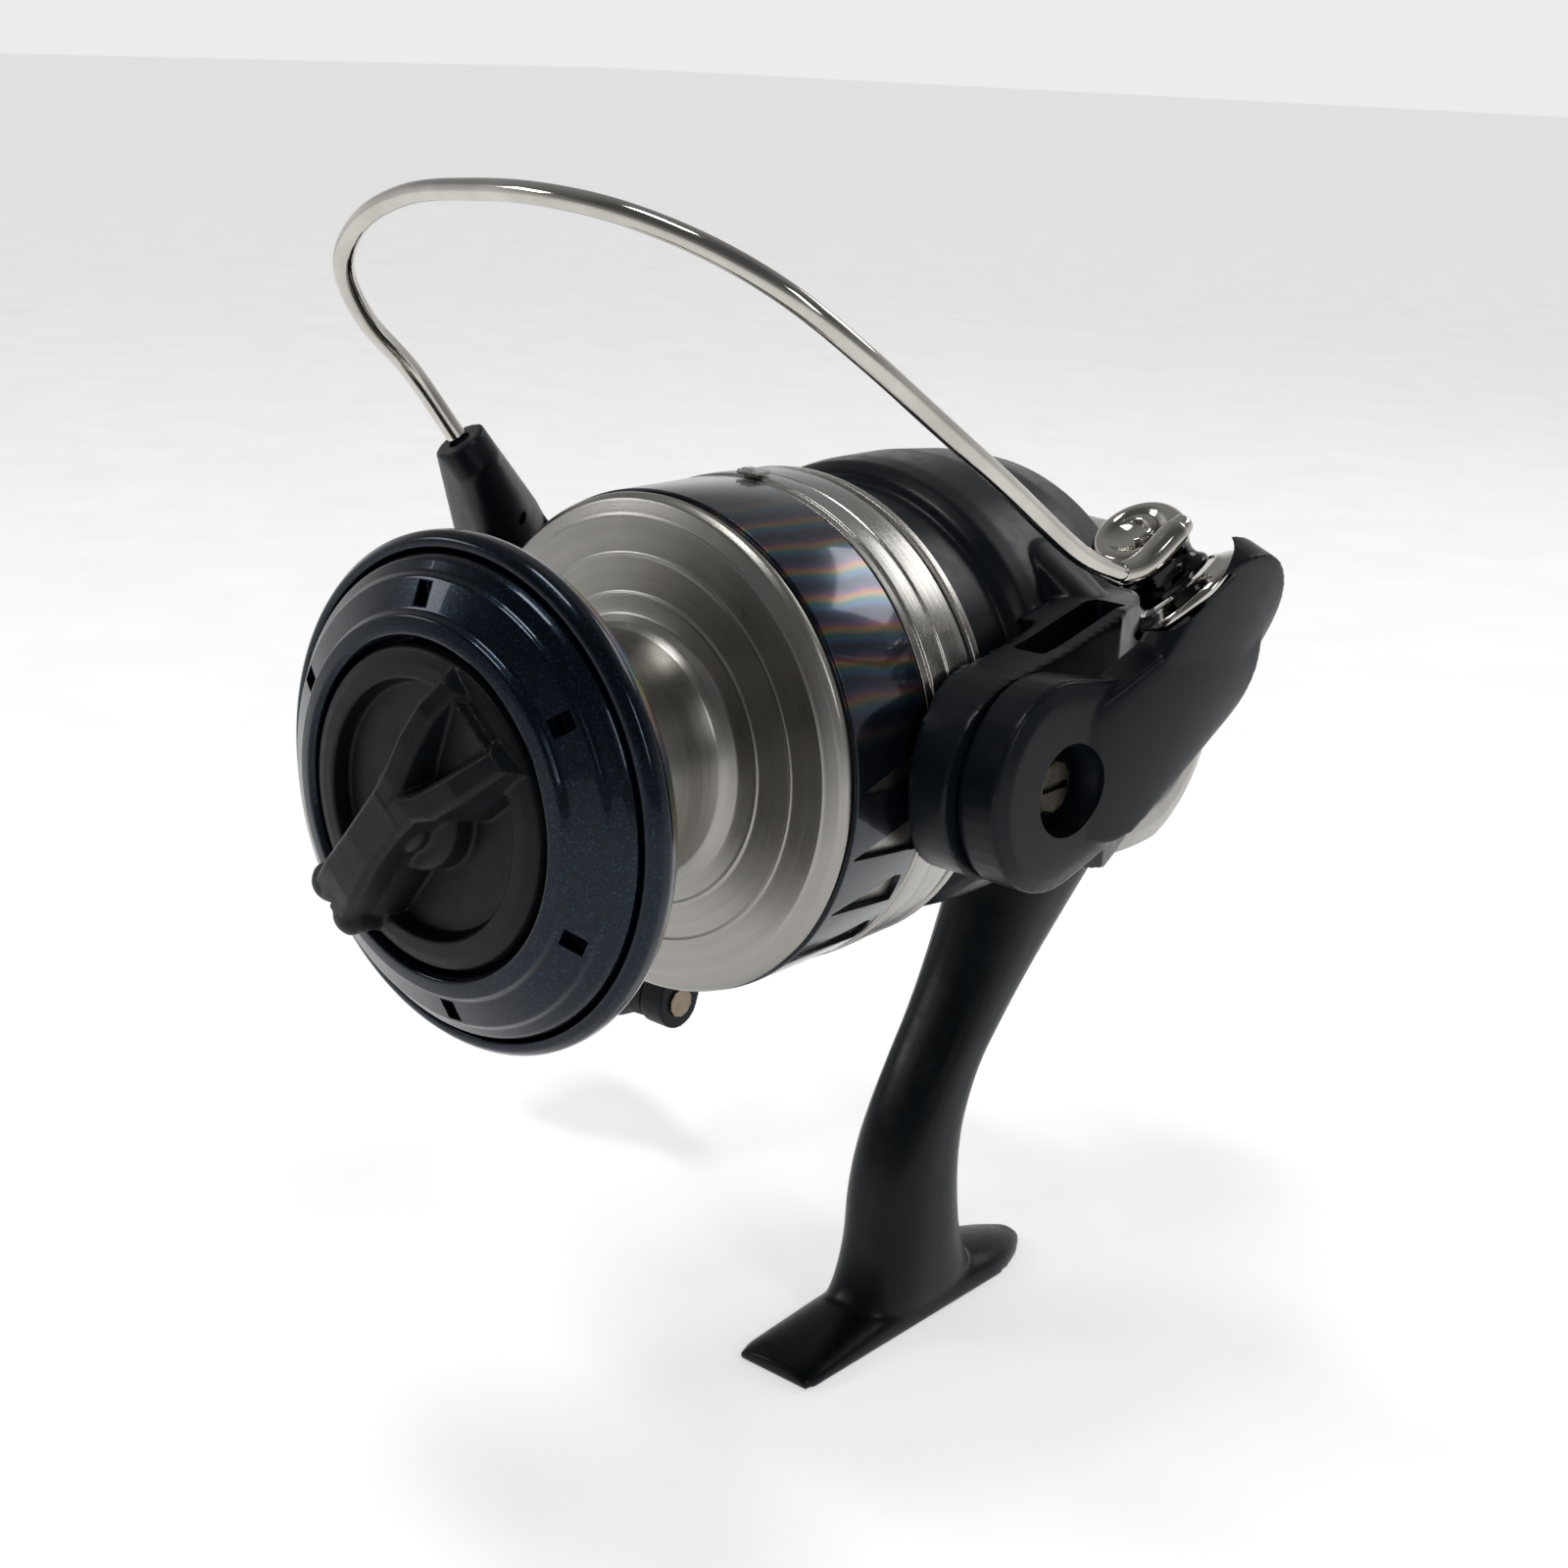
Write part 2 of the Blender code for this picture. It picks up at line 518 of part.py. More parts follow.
# ================================================================= BAIL
arm = hull(((40.1, PIVOT_Y, 0), "X", 12.3, 5.0), ((42.6, 66.5, 7.6), (1.0, -0.14, 0.05), 10.0, 4.2))
far = hull(((42.6, 66.5, 7.6), (1.0, -0.14, 0.05), 10.0, 4.2), ((45.9, 75.5, 16.6), (0.93, -0.1, -0.34), 9.3, 4.0))
arm = join(arm, far)
arm = cut(arm, rod(5.0, 39.6, 50, "X", at=(0, PIVOT_Y, 0), seg=20), rod(2.2, 30, 50, "X", at=(0, PIVOT_Y, 0), seg=10))
back = ROLL_V * -1
arm = cut(arm, turned([(0, 9.0), (8.4, 9.0), (8.4, -1.0), (0, -1.0)], ROLL_V, tuple(ROLL_C), 12, ring=False),
          turned([(0, 1.0), (1.5, 1.0), (1.5, -3.2), (0, -3.2)], ROLL_V, tuple(ROLL_C), 10, ring=False))
part(arm, "bail_arm", "satin_black", "bail")
collar = turned([(1.6, -0.7), (7.9, -0.7), (7.9, 0.3), (6.0, 1.7), (5.4, 1.7), (5.4, 1.3), (1.6, 1.3)][::-1], ROLL_V, tuple(ROLL_C), 12)
part(collar, "roller_collar", "chrome", "bail")
part(turned([(1.55, 1.6), (2.3, 1.6), (2.3, 6.6), (1.55, 6.6)][::-1], ROLL_V, tuple(ROLL_C), 10), "roller_bush", "nylon", "bail")
roll = turned([(2.6, 2.0), (4.9, 2.0), (4.9, 2.8), (4.2, 3.7), (4.2, 4.5), (4.9, 5.6), (4.9, 6.2), (2.6, 6.2)][::-1], ROLL_V, tuple(ROLL_C), 12)
part(roll, "line_roller", "roller", "line_roller")
stud = turned([(0, -2.8), (1.25, -2.8), (1.25, 8.2), (0, 8.2)][::-1], ROLL_V, tuple(ROLL_C), 8, ring=False)
part(stud, "roller_screw", "steel", "bail")
nose = turned([(0, 10.7), (2.4, 10.4), (4.4, 9.5), (5.6, 8.2), (5.9, 7.2), (5.6, 6.6), (4.6, 6.5), (1.55, 6.9), (1.55, 8.6), (0, 8.6)], ROLL_V, tuple(ROLL_C), 12, ring=False)
# socket for the end of the bail wire
end = Vector(WIRE[-1])
nose_c = ROLL_C + ROLL_V * 8.0
rim = nose_c + ROLL_V * 0.4 + (end - nose_c).normalized() * 3.0
horn = hull((tuple(rim), (end - nose_c).normalized(), 1.45, 1.0), (tuple(end + (nose_c - end).normalized() * 0.5), (end - Vector(WIRE[-2])).normalized(), 1.75, 1.0))
nose = cut(join(nose, horn), turned([(0, -3.0), (1.55, -3.0), (1.55, 8.6), (0, 8.6)][::-1], ROLL_V, tuple(ROLL_C), 12, ring=False))
part(nose, "nose_cap", "chrome", "bail")

route = smooth_route(WIRE, 2)
d_end = (route[-1] - route[-2]).normalized()
route[-1] = route[-1] - d_end * 0.9
part(wire(route, WIRE_R, 2), "bail_wire", "chrome", "bail")

lever = hull(((-39.5, PIVOT_Y, 0), "X", 9.6, 4.6), ((-39.4, 41.2, 17.8), "X", 5.8, 4.4))
tip = Vector(WIRE[0])
td = (Vector(WIRE[1]) - tip).normalized()
lev2 = hull(((-39.4, 41.2, 17.8), "X", 5.8, 4.4), (tuple(tip - td * 2.6), td, 3.3, 3.6))
lever = join(lever, lev2)
lever = cut(lever, rod(2.2, -50, -30, "X", at=(0, PIVOT_Y, 0), seg=10),
            rod(4.2, -50, -39.6, "X", at=(0, PIVOT_Y, 0), seg=12),
            rod(0.8, -42, -30, "X", at=(0, 39.6, 20.4), seg=8))
lever = cut(lever, turned([(0, 6.0), (1.5, 6.0), (1.5, -2.4), (0, -2.4)], td, tuple(tip - td * 1.2), 16, ring=False))
part(lever, "bail_lever", "satin_black", "bail")

# ================================================================= BODY
dome = [(23.2, -8.0), (23.8, -5.0), (24.0, 0.0), (23.8, 6.0), (22.8, 10.0), (21.0, 13.0), (18.0, 15.4), (14.5, 16.9), (9.0, 17.6)]
shell = turned([(0, -8.0)] + dome + [(0, 17.6)], "X", (0, CRANK_Y, CRANK_Z), 24, ring=False)
neck = rod(23.6, 83.6, 94.9, seg=20, bevel=0.5)
snout = rod(14.4, 70.0, 84.5, seg=12)

STEM = [  # centre y, z (axis frame) and half sizes across X and along Y
    (112.0, -27.0, 7.8, 12.0), (109.5, -31.5, 7.8, 13.0), (105.5, -36.5, 7.7, 10.8), (98.6, -45.5, 6.9, 8.0),
    (93.4, -52.5, 6.3, 6.9), (88.6, -59.0, 6.0, 6.6), (85.2, -65.5, 6.1, 7.0), (83.5, -71.0, 6.3, 7.6),
    (82.9, -77.0, 6.5, 8.3), (83.2, -84.0, 6.6, 9.2), (83.4, -89.5, 6.6, 11.5), (83.2, -93.0, 6.5, 14.5)]
stem = loft([[(u, y + v, z) for u, v in rounded(a, b)] for y, z, a, b in STEM])


def foot():
    """Crowned foot: flat underneath, thickest at the stem, thin at both ends."""
    secs = []
    n = 7
    for k in range(13):
        t = k / 12
        y = FOOT_FRONT + (FOOT_REAR - FOOT_FRONT) * t
        if y < 0:
            h = 2.0 + 3.4 * (1 - y / FOOT_FRONT) ** 0.8
            w = FOOT_W * (0.90 + 0.10 * min(1, (y - FOOT_FRONT) / 2.5))
        else:
            h = 1.6 + 3.8 * max(0.0, 1 - (y / FOOT_REAR) ** 2.2)
            w = FOOT_W * max(0.30, (1 - max(0.0, (y - 14.0) / (FOOT_REAR - 14.0)) ** 2.4 * 0.7))
        top = [(w * math.cos(math.pi * i / (n - 1)), h * (0.35 + 0.65 * math.sin(math.pi * i / (n - 1)))) for i in range(n)]
        sec = [(w, 0.0)] + top + [(-w, 0.0)]
        secs.append([(x, y - LIP_Y, z - AXIS_Z) for x, z in sec])
    return loft(secs)


housing = join(shell, neck, snout)
housing = cut(housing, tube(23.3, 46.0, 60.0, 94.6, seg=24))
housing = join(housing, stem, foot())
cav = turned([(0, -9.5), (21.7, -9.5), (21.7, 8.6), (19.0, 11.2), (14.8, 12.4), (0, 12.4)], "X", (0, CRANK_Y, CRANK_Z), 20, ring=False)
housing = cut(housing, cav, rod(7.4, 82.3, 90.0, seg=12), rod(11.4, 60.0, 81.9, seg=12), rod(5.2, 80.0, 95.0, seg=10),
              rod(5.2, 11.0, 20.0, "X", at=(0, CRANK_Y, CRANK_Z), seg=10))
for a in (70, 305):
    c = (CRANK_Y + 18.0 * math.cos(math.radians(a)), CRANK_Z + 18.0 * math.sin(math.radians(a)))
    housing = cut(join(housing, rod(4.2, -8.0, 1.5, "X", at=(0, c[0], c[1]), seg=8)),
                  rod(1.2, -9.0, 0.5, "X", at=(0, c[0], c[1]), seg=8))
housing = cut(housing, rod(1.3, 126.0, 136.0, "Y", at=(0, 0, CRANK_Z), seg=8))
part(housing, "gear_housing", "satin_black")

cdome = [(23.2, -8.3), (22.6, -9.8), (20.8, -12.8), (17.8, -15.2), (14.3, -16.7), (9.0, -17.4)]
cinner = [(5.2, -17.4), (5.2, -12.6), (8.0, -12.6), (14.0, -14.6), (17.4, -13.6), (20.0, -11.2), (21.8, -8.3)]
side = turned(cdome + cinner, "X", (0, CRANK_Y, CRANK_Z), 20)
side = cut(side, tube(23.3, 46.0, 60.0, 94.6, seg=24))
side = cut(side, box(-30, 0, 60, 95.3, -60, 60))
for a in (70, 305):
    c = (CRANK_Y + 18.0 * math.cos(math.radians(a)), CRANK_Z + 18.0 * math.sin(math.radians(a)))
    side = join(side, rod(2.9, -12.6, -8.3, "X", at=(0, c[0], c[1]), seg=10))
    side = cut(side, rod(2.5, -20, -11.0, "X", at=(0, c[0], c[1]), seg=10), rod(1.5, -20, -5, "X", at=(0, c[0], c[1]), seg=8))
side = join(side, rod(1.3, -14.6, -9.4, "X", at=(0, OSC_Y, OSC_Z), seg=8))
part(side, "side_cover", "satin_black")
for k, a in enumerate((70, 305)):
    c = (CRANK_Y + 18.0 * math.cos(math.radians(a)), CRANK_Z + 18.0 * math.sin(math.radians(a)))
    scr = turned([(0, -13.0), (2.2, -13.0), (2.2, -11.3), (0.9, -11.3), (0.9, -1.5), (0, -1.5)], "X", (0, c[0], c[1]), 10, ring=False)
    scr = cut(scr, box(-14, -12.4, c[0] - 1.6, c[0] + 1.6, c[1] - 0.3, c[1] + 0.3))
    part(scr, "side_cover_screw_%d" % (k + 1), "steel")

# outer trim cover around the rear of the body
g0, g1 = 0.5, 1.9


def grown(prof, g):
    return [(r + g, h + g * min(1.0, h / 12.0)) for r, h in prof]


half = [(24.0, 0.0), (23.8, 6.0), (22.8, 10.0), (21.0, 13.0), (18.0, 15.4), (14.5, 16.9), (11.6, 17.4)]
outer_p = [(r, -h) for r, h in reversed(grown(half, g1))] + grown(half, g1)[1:]
inner_p = [(r, -h) for r, h in reversed(grown(half, g0))] + grown(half, g0)[1:]
rc = turned(outer_p + inner_p[::-1], "X", (0, CRANK_Y, CRANK_Z), 20)
rc = cut(rc, box(-40, 40, 40, 95.4, -80, 60), box(-40, 40, 60, 150, -80, -26.8))
rc = cut(rc, rod(1.6, 126.0, 136.0, "Y", at=(0, 0, CRANK_Z), seg=8), rod(2.6, 133.1, 138.0, "Y", at=(0, 0, CRANK_Z), seg=10))
part(rc, "rear_cover", "grey_cover")
scr = turned([(0, 134.6), (2.3, 134.6), (2.3, 133.4), (1.0, 133.4), (1.0, 129.6), (0, 129.6)], "Y", (0, 0, CRANK_Z), 10, ring=False)
scr = cut(scr, box(-1.7, 1.7, 134.0, 135.5, CRANK_Z - 0.3, CRANK_Z + 0.3))
part(scr, "rear_cover_screw", "steel")

part(tube(6.2, 11.1, 72.3, 81.5, seg=12), "one_way_clutch", "steel")
part(tube(6.6, 14.2, 68.6, 69.7, seg=12), "clutch_retainer", "steel")
part(tube(3.9, 7.1, 82.6, 86.4, seg=12), "pinion_bearing", "steel")
part(tube(3.2, 4.9, 12.8, 17.2, "X", (0, CRANK_Y, CRANK_Z), 10), "crank_bearing_right", "steel")
part(tube(3.2, 4.9, -17.2, -13.0, "X", (0, CRANK_Y, CRANK_Z), 10), "crank_bearing_left", "steel")

# ================================================================= CRANK TRAIN
gear = turned([(20.5, 8.0), (20.5, 5.2), (2.9, 5.2), (2.9, -18.4), (1.9, -18.4), (1.9, 18.4), (2.9, 18.4), (2.9, 8.0)], "X", (0, CRANK_Y, CRANK_Z), 12)
bars = []
for i in range(N_DRIVE):
    # each tooth is a short bar tangent to the offset circle, so it lies along the pinion where they mesh
    a = math.tau * i / N_DRIVE
    ca, sa = math.cos(a), math.sin(a)
    w0, w1 = 0.62, 0.38
    sec = []
    for x, w in ((5.5, w0), (3.55, w1)):
        ring_ = []
        for s, u in ((14.6, -w), (19.0, -w), (19.0, w), (14.6, w)):
            y, z = -s, 8.0 + u
            ring_.append((x, CRANK_Y + y * ca - z * sa, CRANK_Z + y * sa + z * ca))
        sec.append(ring_)
    bars.append(loft(sec))
bm = bmesh.new()
for b in bars:
    bm.from_mesh(b.data)
    bpy.data.objects.remove(b, do_unlink=True)
gear = join(gear, bm_object(bm))
small = prism([(CRANK_Y + u, CRANK_Z + v) for u, v in toothed(N_STEP, 2.95, 4.15, land=0.30)], "X", -12.0, -9.2)
gear = join(gear, small)
gear = cut(gear, rod(1.9, -30, 30, "X", at=(0, CRANK_Y, CRANK_Z), seg=10))
part(gear, "drive_gear", "cast_zinc", "crank")

hs = rod(1.6, -50.4, 17.0, "X", at=(0, CRANK_Y, CRANK_Z), seg=8)
hs = join(hs, rod(4.4, -50.4, -18.9, "X", at=(0, CRANK_Y, CRANK_Z), seg=12, r2=5.4))
part(hs, "handle_shaft", "chrome", "crank")
KX = -50.6
KN = (90.0, -66.0)
harm = hull(((KX - 2.6, CRANK_Y, CRANK_Z), "X", 6.6, 4.4), ((KX - 2.6, 99.5, -36.0), "X", 4.4, 4.2))
harm = join(harm, hull(((KX - 2.6, 99.5, -36.0), "X", 4.4, 4.2), ((KX - 2.6, KN[0], KN[1]), "X", 4.4, 4.6)))
harm = cut(harm, rod(2.0, KX - 8, KX + 3, "X", at=(0, KN[0], KN[1]), seg=10), rod(2.5, KX - 8, KX - 2.2, "X", at=(0, CRANK_Y, CRANK_Z), seg=10))
part(harm, "handle_arm", "satin_black", "crank")
fold = turned([(0, KX - 5.6), (2.2, KX - 5.6), (2.2, KX - 2.6), (0, KX - 2.6)][::-1], "X", (0, CRANK_Y, CRANK_Z), 10, ring=False)
part(fold, "handle_fold_pin", "steel", "crank")
capx = turned([(0, 18.8), (5.6, 18.8), (7.0, 19.6), (7.2, 20.6), (7.2, 23.0), (6.4, 24.0), (3.0, 24.6), (0, 24.6)][::-1], "X", (0, CRANK_Y, CRANK_Z), 12, ring=False)
part(capx, "handle_screw_cap", "satin_black", "crank")
part(tube(7.5, 8.4, 19.9, 21.2, "X", (0, CRANK_Y, CRANK_Z), 12), "screw_cap_ring", "chrome", "crank")
spn = turned([(0, KX + 0.1), (2.35, KX + 0.1), (2.35, KX - 0.2 + 0.0), (1.7, KX - 0.3), (1.7, KX - 32.0), (0, KX - 32.0)], "X", (0, KN[0], KN[1]), 10, ring=False)
part(spn, "knob_spindle", "brass", "crank")
hk = turned([(2.05, KX - 5.4), (3.9, KX - 5.4), (4.1, KX - 9.0), (6.4, KX - 14.0), (9.2, KX - 20.0), (10.4, KX - 26.0), (9.8, KX - 31.5), (7.0, KX - 34.6),
             (2.9, KX - 35.2), (2.9, KX - 32.6), (2.05, KX - 32.3)], "X", (0, KN[0], KN[1]), 12)
part(hk, "handle_knob", "rubber", "handle_knob")
part(rod(2.6, KX - 35.2, KX - 33.0, "X", at=(0, KN[0], KN[1]), seg=10), "knob_end_cap", "chrome", "handle_knob")

og = prism([(OSC_Y + u, OSC_Z + v) for u, v in toothed(N_OSC, 6.55, 7.75, land=0.30, phase=math.radians(5.7))], "X", -12.0, -9.2)
og = join(og, rod(1.0, -9.6, -7.6, "X", at=(0, OSC_Y - 1.5, OSC_Z - math.sqrt(OSC_PIN_R ** 2 - 1.5 ** 2)), seg=8))
og = cut(og, rod(1.6, -14, -6, "X", at=(0, OSC_Y, OSC_Z), seg=10))
part(og, "oscillating_gear", "cast_zinc", "oscillating_gear")

bpy.data.objects.remove(pawl, do_unlink=True)
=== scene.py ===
import json
import math
import bpy
import bmesh
from mathutils import Matrix, Vector


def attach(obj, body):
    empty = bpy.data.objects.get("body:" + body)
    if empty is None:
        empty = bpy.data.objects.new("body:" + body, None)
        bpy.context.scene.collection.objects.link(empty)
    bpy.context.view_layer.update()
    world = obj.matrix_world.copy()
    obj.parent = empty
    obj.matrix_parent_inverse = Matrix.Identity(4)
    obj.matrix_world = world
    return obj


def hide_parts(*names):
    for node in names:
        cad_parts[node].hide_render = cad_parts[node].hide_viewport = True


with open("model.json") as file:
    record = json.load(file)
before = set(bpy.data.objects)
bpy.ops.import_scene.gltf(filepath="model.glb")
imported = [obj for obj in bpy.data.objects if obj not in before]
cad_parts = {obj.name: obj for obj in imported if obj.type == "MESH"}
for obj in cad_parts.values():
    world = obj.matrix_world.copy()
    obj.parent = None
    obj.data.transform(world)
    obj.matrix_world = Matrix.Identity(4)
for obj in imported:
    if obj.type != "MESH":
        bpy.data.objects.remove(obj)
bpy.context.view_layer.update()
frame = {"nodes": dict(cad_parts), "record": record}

MM = 0.001
LIP_Y, AXIS_Z = -82.0, 95.5
PIVOT_Y = 51.0
CY, CZ = 108.0, -8.0
ROLL_C = Vector((43.2, 73.5, 18.8))
ROLL_V = Vector((-0.60, -0.35, 0.72)).normalized()
SC = bpy.context.scene
COL = bpy.data.collections.new("looks")
SC.collection.children.link(COL)


def W(p):
    return Vector((p[0], p[1] + LIP_Y, p[2] + AXIS_Z)) * MM


# ------------------------------------------------------------------ node helpers
class NT:
    def __init__(self, name):
        self.m = bpy.data.materials.new(name)
        self.m.use_nodes = True
        self.t = self.m.node_tree
        self.b = self.t.nodes["Principled BSDF"]

    def n(self, kind, **kw):
        nd = self.t.nodes.new(kind)
        for k, v in kw.items():
            setattr(nd, k, v)
        return nd

    def link(self, a, b):
        self.t.links.new(a, b)

    def set(self, **kw):
        for k, v in kw.items():
            s = self.b.inputs[k.replace("_", " ")]
            s.default_value = (*v, 1) if isinstance(v, tuple) and len(v) == 3 else v

    def coords(self):
        return self.n("ShaderNodeTexCoord").outputs["Object"]

    def noise(self, vec, scale, detail=4.0, rough=0.55):
        nd = self.n("ShaderNodeTexNoise")
        nd.inputs["Scale"].default_value = scale
        nd.inputs["Detail"].default_value = detail
        nd.inputs["Roughness"].default_value = rough
        self.link(vec, nd.inputs["Vector"])
        return nd.outputs["Fac"]

    def ramp(self, fac, stops):
        nd = self.n("ShaderNodeValToRGB")
        el = nd.color_ramp.elements
        while len(el) > 1:
            el.remove(el[-1])
        el[0].position, el[0].color = stops[0][0], (*stops[0][1], 1)
        for p, c in stops[1:]:
            e = el.new(p)
            e.color = (*c, 1)
        self.link(fac, nd.inputs["Fac"])
        return nd.outputs["Color"]

    def rng(self, fac, a, b, lo=0.3, hi=0.7):
        nd = self.n("ShaderNodeMapRange")
        nd.inputs["From Min"].default_value, nd.inputs["From Max"].default_value = lo, hi
        nd.inputs["To Min"].default_value, nd.inputs["To Max"].default_value = a, b
        self.link(fac, nd.inputs["Value"])
        return nd.outputs["Result"]

    def bump(self, height, strength, dist, normal=None):
        nd = self.n("ShaderNodeBump")
        nd.inputs["Strength"].default_value = strength
        nd.inputs["Distance"].default_value = dist
        self.link(height, nd.inputs["Height"])
        if normal is not None:
            self.link(normal, nd.inputs["Normal"])
        return nd.outputs["Normal"]

    def math(self, op, a, b=None):
        nd = self.n("ShaderNodeMath", operation=op)
        for i, v in enumerate((a, b)):
            if v is None:
                continue
            if isinstance(v, (int, float)):
                nd.inputs[i].default_value = v
            else:
                self.link(v, nd.inputs[i])
        return nd.outputs[0]

    def mix(self, fac, a, b):
        nd = self.n("ShaderNodeMix", data_type="RGBA")
        self.link(fac, nd.inputs["Factor"])
        for v, s in ((a, nd.inputs["A"]), (b, nd.inputs["B"])):
            pass
        ins = [i for i in nd.inputs if i.type == "RGBA"]
        for v, s in ((a, ins[0]), (b, ins[1])):
            if isinstance(v, tuple):
                s.default_value = (*v, 1)
            else:
                self.link(v, s)
        return [o for o in nd.outputs if o.type == "RGBA"][0]


def plastic(name, c0, c1, r0, r1, grain=1.0, coat=0.0, spec=0.32):
    t = NT(name)
    v = t.coords()
    big = t.noise(v, 90, 5)
    t.link(t.ramp(big, [(0.35, c0), (0.68, c1)]), t.b.inputs["Base Color"])
    fine = t.noise(v, 2600, 3)
    mid = t.noise(v, 420, 4)
    t.link(t.rng(mid, r0, r1), t.b.inputs["Roughness"])
    n1 = t.bump(fine, 0.22 * grain, 0.00006)
    t.link(t.bump(mid, 0.10 * grain, 0.00012, n1), t.b.inputs["Normal"])
    t.set(Coat_Weight=coat, Coat_Roughness=0.25)
    t.b.inputs["Specular IOR Level"].default_value = spec
    return t.m


def lacquer(name, base, fleck, metal=0.55):
    t = NT(name)
    v = t.coords()
    vo = t.n("ShaderNodeTexVoronoi")
    vo.inputs["Scale"].default_value = 5200
    t.link(v, vo.inputs["Vector"])
    sep = t.n("ShaderNodeSeparateColor")
    t.link(vo.outputs["Color"], sep.inputs["Color"])
    f = t.rng(sep.outputs[0], 0.0, 1.0, 0.80, 1.0)
    big = t.noise(v, 60, 3)
    b2 = t.ramp(big, [(0.3, tuple(c * 0.8 for c in base)), (0.7, tuple(c * 1.25 for c in base))])
    t.link(t.mix(f, b2, fleck), t.b.inputs["Base Color"])
    t.link(t.rng(t.noise(v, 300, 4), 0.16, 0.26), t.b.inputs["Roughness"])
    t.link(t.bump(t.noise(v, 700, 2), 0.05, 0.00008), t.b.inputs["Normal"])
    t.set(Metallic=metal, Coat_Weight=0.26, Coat_Roughness=0.04)
    t.b.inputs["Specular IOR Level"].default_value = 0.25
    return t.m


def turned_metal(name, c0, c1, r0, r1, ring=900.0, tint=False, axis="Y"):
    """Bare metal with the fine rings that a lathe leaves round the axis."""
    t = NT(name)
    v = t.coords()
    sep = t.n("ShaderNodeSeparateXYZ")
    t.link(v, sep.inputs[0])
    a, b, along = (sep.outputs[0], sep.outputs[2], sep.outputs[1]) if axis == "Y" else (sep.outputs[1], sep.outputs[2], sep.outputs[0])
    off = AXIS_Z * MM if axis == "Y" else 0.0
    bz = t.math("SUBTRACT", b, off)
    r = t.math("SQRT", t.math("ADD", t.math("MULTIPLY", a, a), t.math("MULTIPLY", bz, bz)))
    cmb = t.n("ShaderNodeCombineXYZ")
    t.link(r, cmb.inputs[0])
    t.link(along, cmb.inputs[1])
    rings = t.noise(cmb.outputs[0], ring * 5, 5, 0.7)
    broad = t.noise(cmb.outputs[0], ring, 3)
    cloud = t.noise(v, 160, 5)
    col = t.ramp(broad, [(0.30, c0), (0.70, c1)])
    if tint:
        ang = t.math("ARCTAN2", bz, a)
        rainbow = t.ramp(t.math("FRACT", t.math("MULTIPLY", t.math("ADD", ang, t.math("MULTIPLY", r, 30.0)), 2.3)),
                         [(0.0, (0.30, 0.26, 0.24)), (0.2, (0.42, 0.20, 0.14)), (0.38, (0.40, 0.36, 0.10)), (0.55, (0.12, 0.34, 0.22)),
                          (0.72, (0.12, 0.20, 0.42)), (0.88, (0.30, 0.18, 0.36)), (1.0, (0.30, 0.26, 0.24))])
        col = t.mix(t.rng(t.noise(v, 70, 2), 0.15, 0.75), col, rainbow)
    t.link(col, t.b.inputs["Base Color"])
    t.link(t.math("ADD", t.rng(rings, r0, r1), t.rng(cloud, -0.03, 0.04)), t.b.inputs["Roughness"])
    t.link(t.bump(rings, 0.25, 0.00005), t.b.inputs["Normal"])
    t.set(Metallic=1.0)
    t.b.inputs["Anisotropic"].default_value = 0.35
    return t.m


def metal(name, c0, c1, r0, r1, bump=0.08, scale=500.0):
    t = NT(name)
    v = t.coords()
    t.link(t.ramp(t.noise(v, 120, 4), [(0.3, c0), (0.7, c1)]), t.b.inputs["Base Color"])
    t.link(t.rng(t.noise(v, scale, 5), r0, r1), t.b.inputs["Roughness"])
    t.link(t.bump(t.noise(v, scale * 2, 4), bump, 0.00006), t.b.inputs["Normal"])
    t.set(Metallic=1.0)
    return t.m


BLACK = plastic("satin_black", (0.0030, 0.0050, 0.0076), (0.0054, 0.0078, 0.0110), 0.34, 0.46, 1.0, 0.02, 0.15)
BLACK_ARM = plastic("arm_paint", (0.0024, 0.0046, 0.0078), (0.0046, 0.0074, 0.0114), 0.27, 0.38, 0.7, 0.03, 0.15)
BODY_BLACK = plastic("body_paint", (0.0020, 0.0040, 0.0056), (0.0042, 0.0068, 0.0088), 0.24, 0.36, 0.6, 0.04, 0.15)
KNOB_BLACK = plastic("knob_plastic", (0.0034, 0.0052, 0.0072), (0.0062, 0.0086, 0.0108), 0.38, 0.50, 1.5, 0.0, 0.17)
NAVY = lacquer("navy_lacquer", (0.0022, 0.0060, 0.0130), (0.012, 0.030, 0.056), 0.7)
ALU = turned_metal("turned_aluminium", (0.300, 0.287, 0.266), (0.350, 0.336, 0.313), 0.26, 0.36)
# near-black metal for the skirt ring's groove: painted shade in the recess
GROOVE_PAINTED_SHADE = turned_metal("groove_painted_shade", (0.02, 0.02, 0.02), (0.04, 0.04, 0.04), 0.4, 0.5)
ALU_RING = turned_metal("ring_aluminium", (0.34, 0.325, 0.305), (0.47, 0.455, 0.43), 0.20, 0.32, 1400.0)
LIP_BACK = turned_metal("lip_back", (0.16, 0.155, 0.15), (0.24, 0.23, 0.22), 0.20, 0.30, 1200.0, True)
CHROME = metal("warm_chrome", (0.46, 0.435, 0.40), (0.58, 0.555, 0.52), 0.05, 0.11, 0.006, 120.0)
DARK_CHROME = metal("dark_roller", (0.018, 0.018, 0.019), (0.034, 0.034, 0.034), 0.08, 0.16, 0.006, 150.0)
STEEL = metal("machined_steel", (0.30, 0.295, 0.29), (0.42, 0.41, 0.40), 0.22, 0.36, 0.15, 900.0)
SCREW = metal("aged_screw", (0.022, 0.018, 0.013), (0.075, 0.064, 0.048), 0.25, 0.45, 0.35, 700.0)
ZINC = metal("die_cast", (0.050, 0.051, 0.054), (0.085, 0.086, 0.090), 0.42, 0.58, 0.3, 600.0)
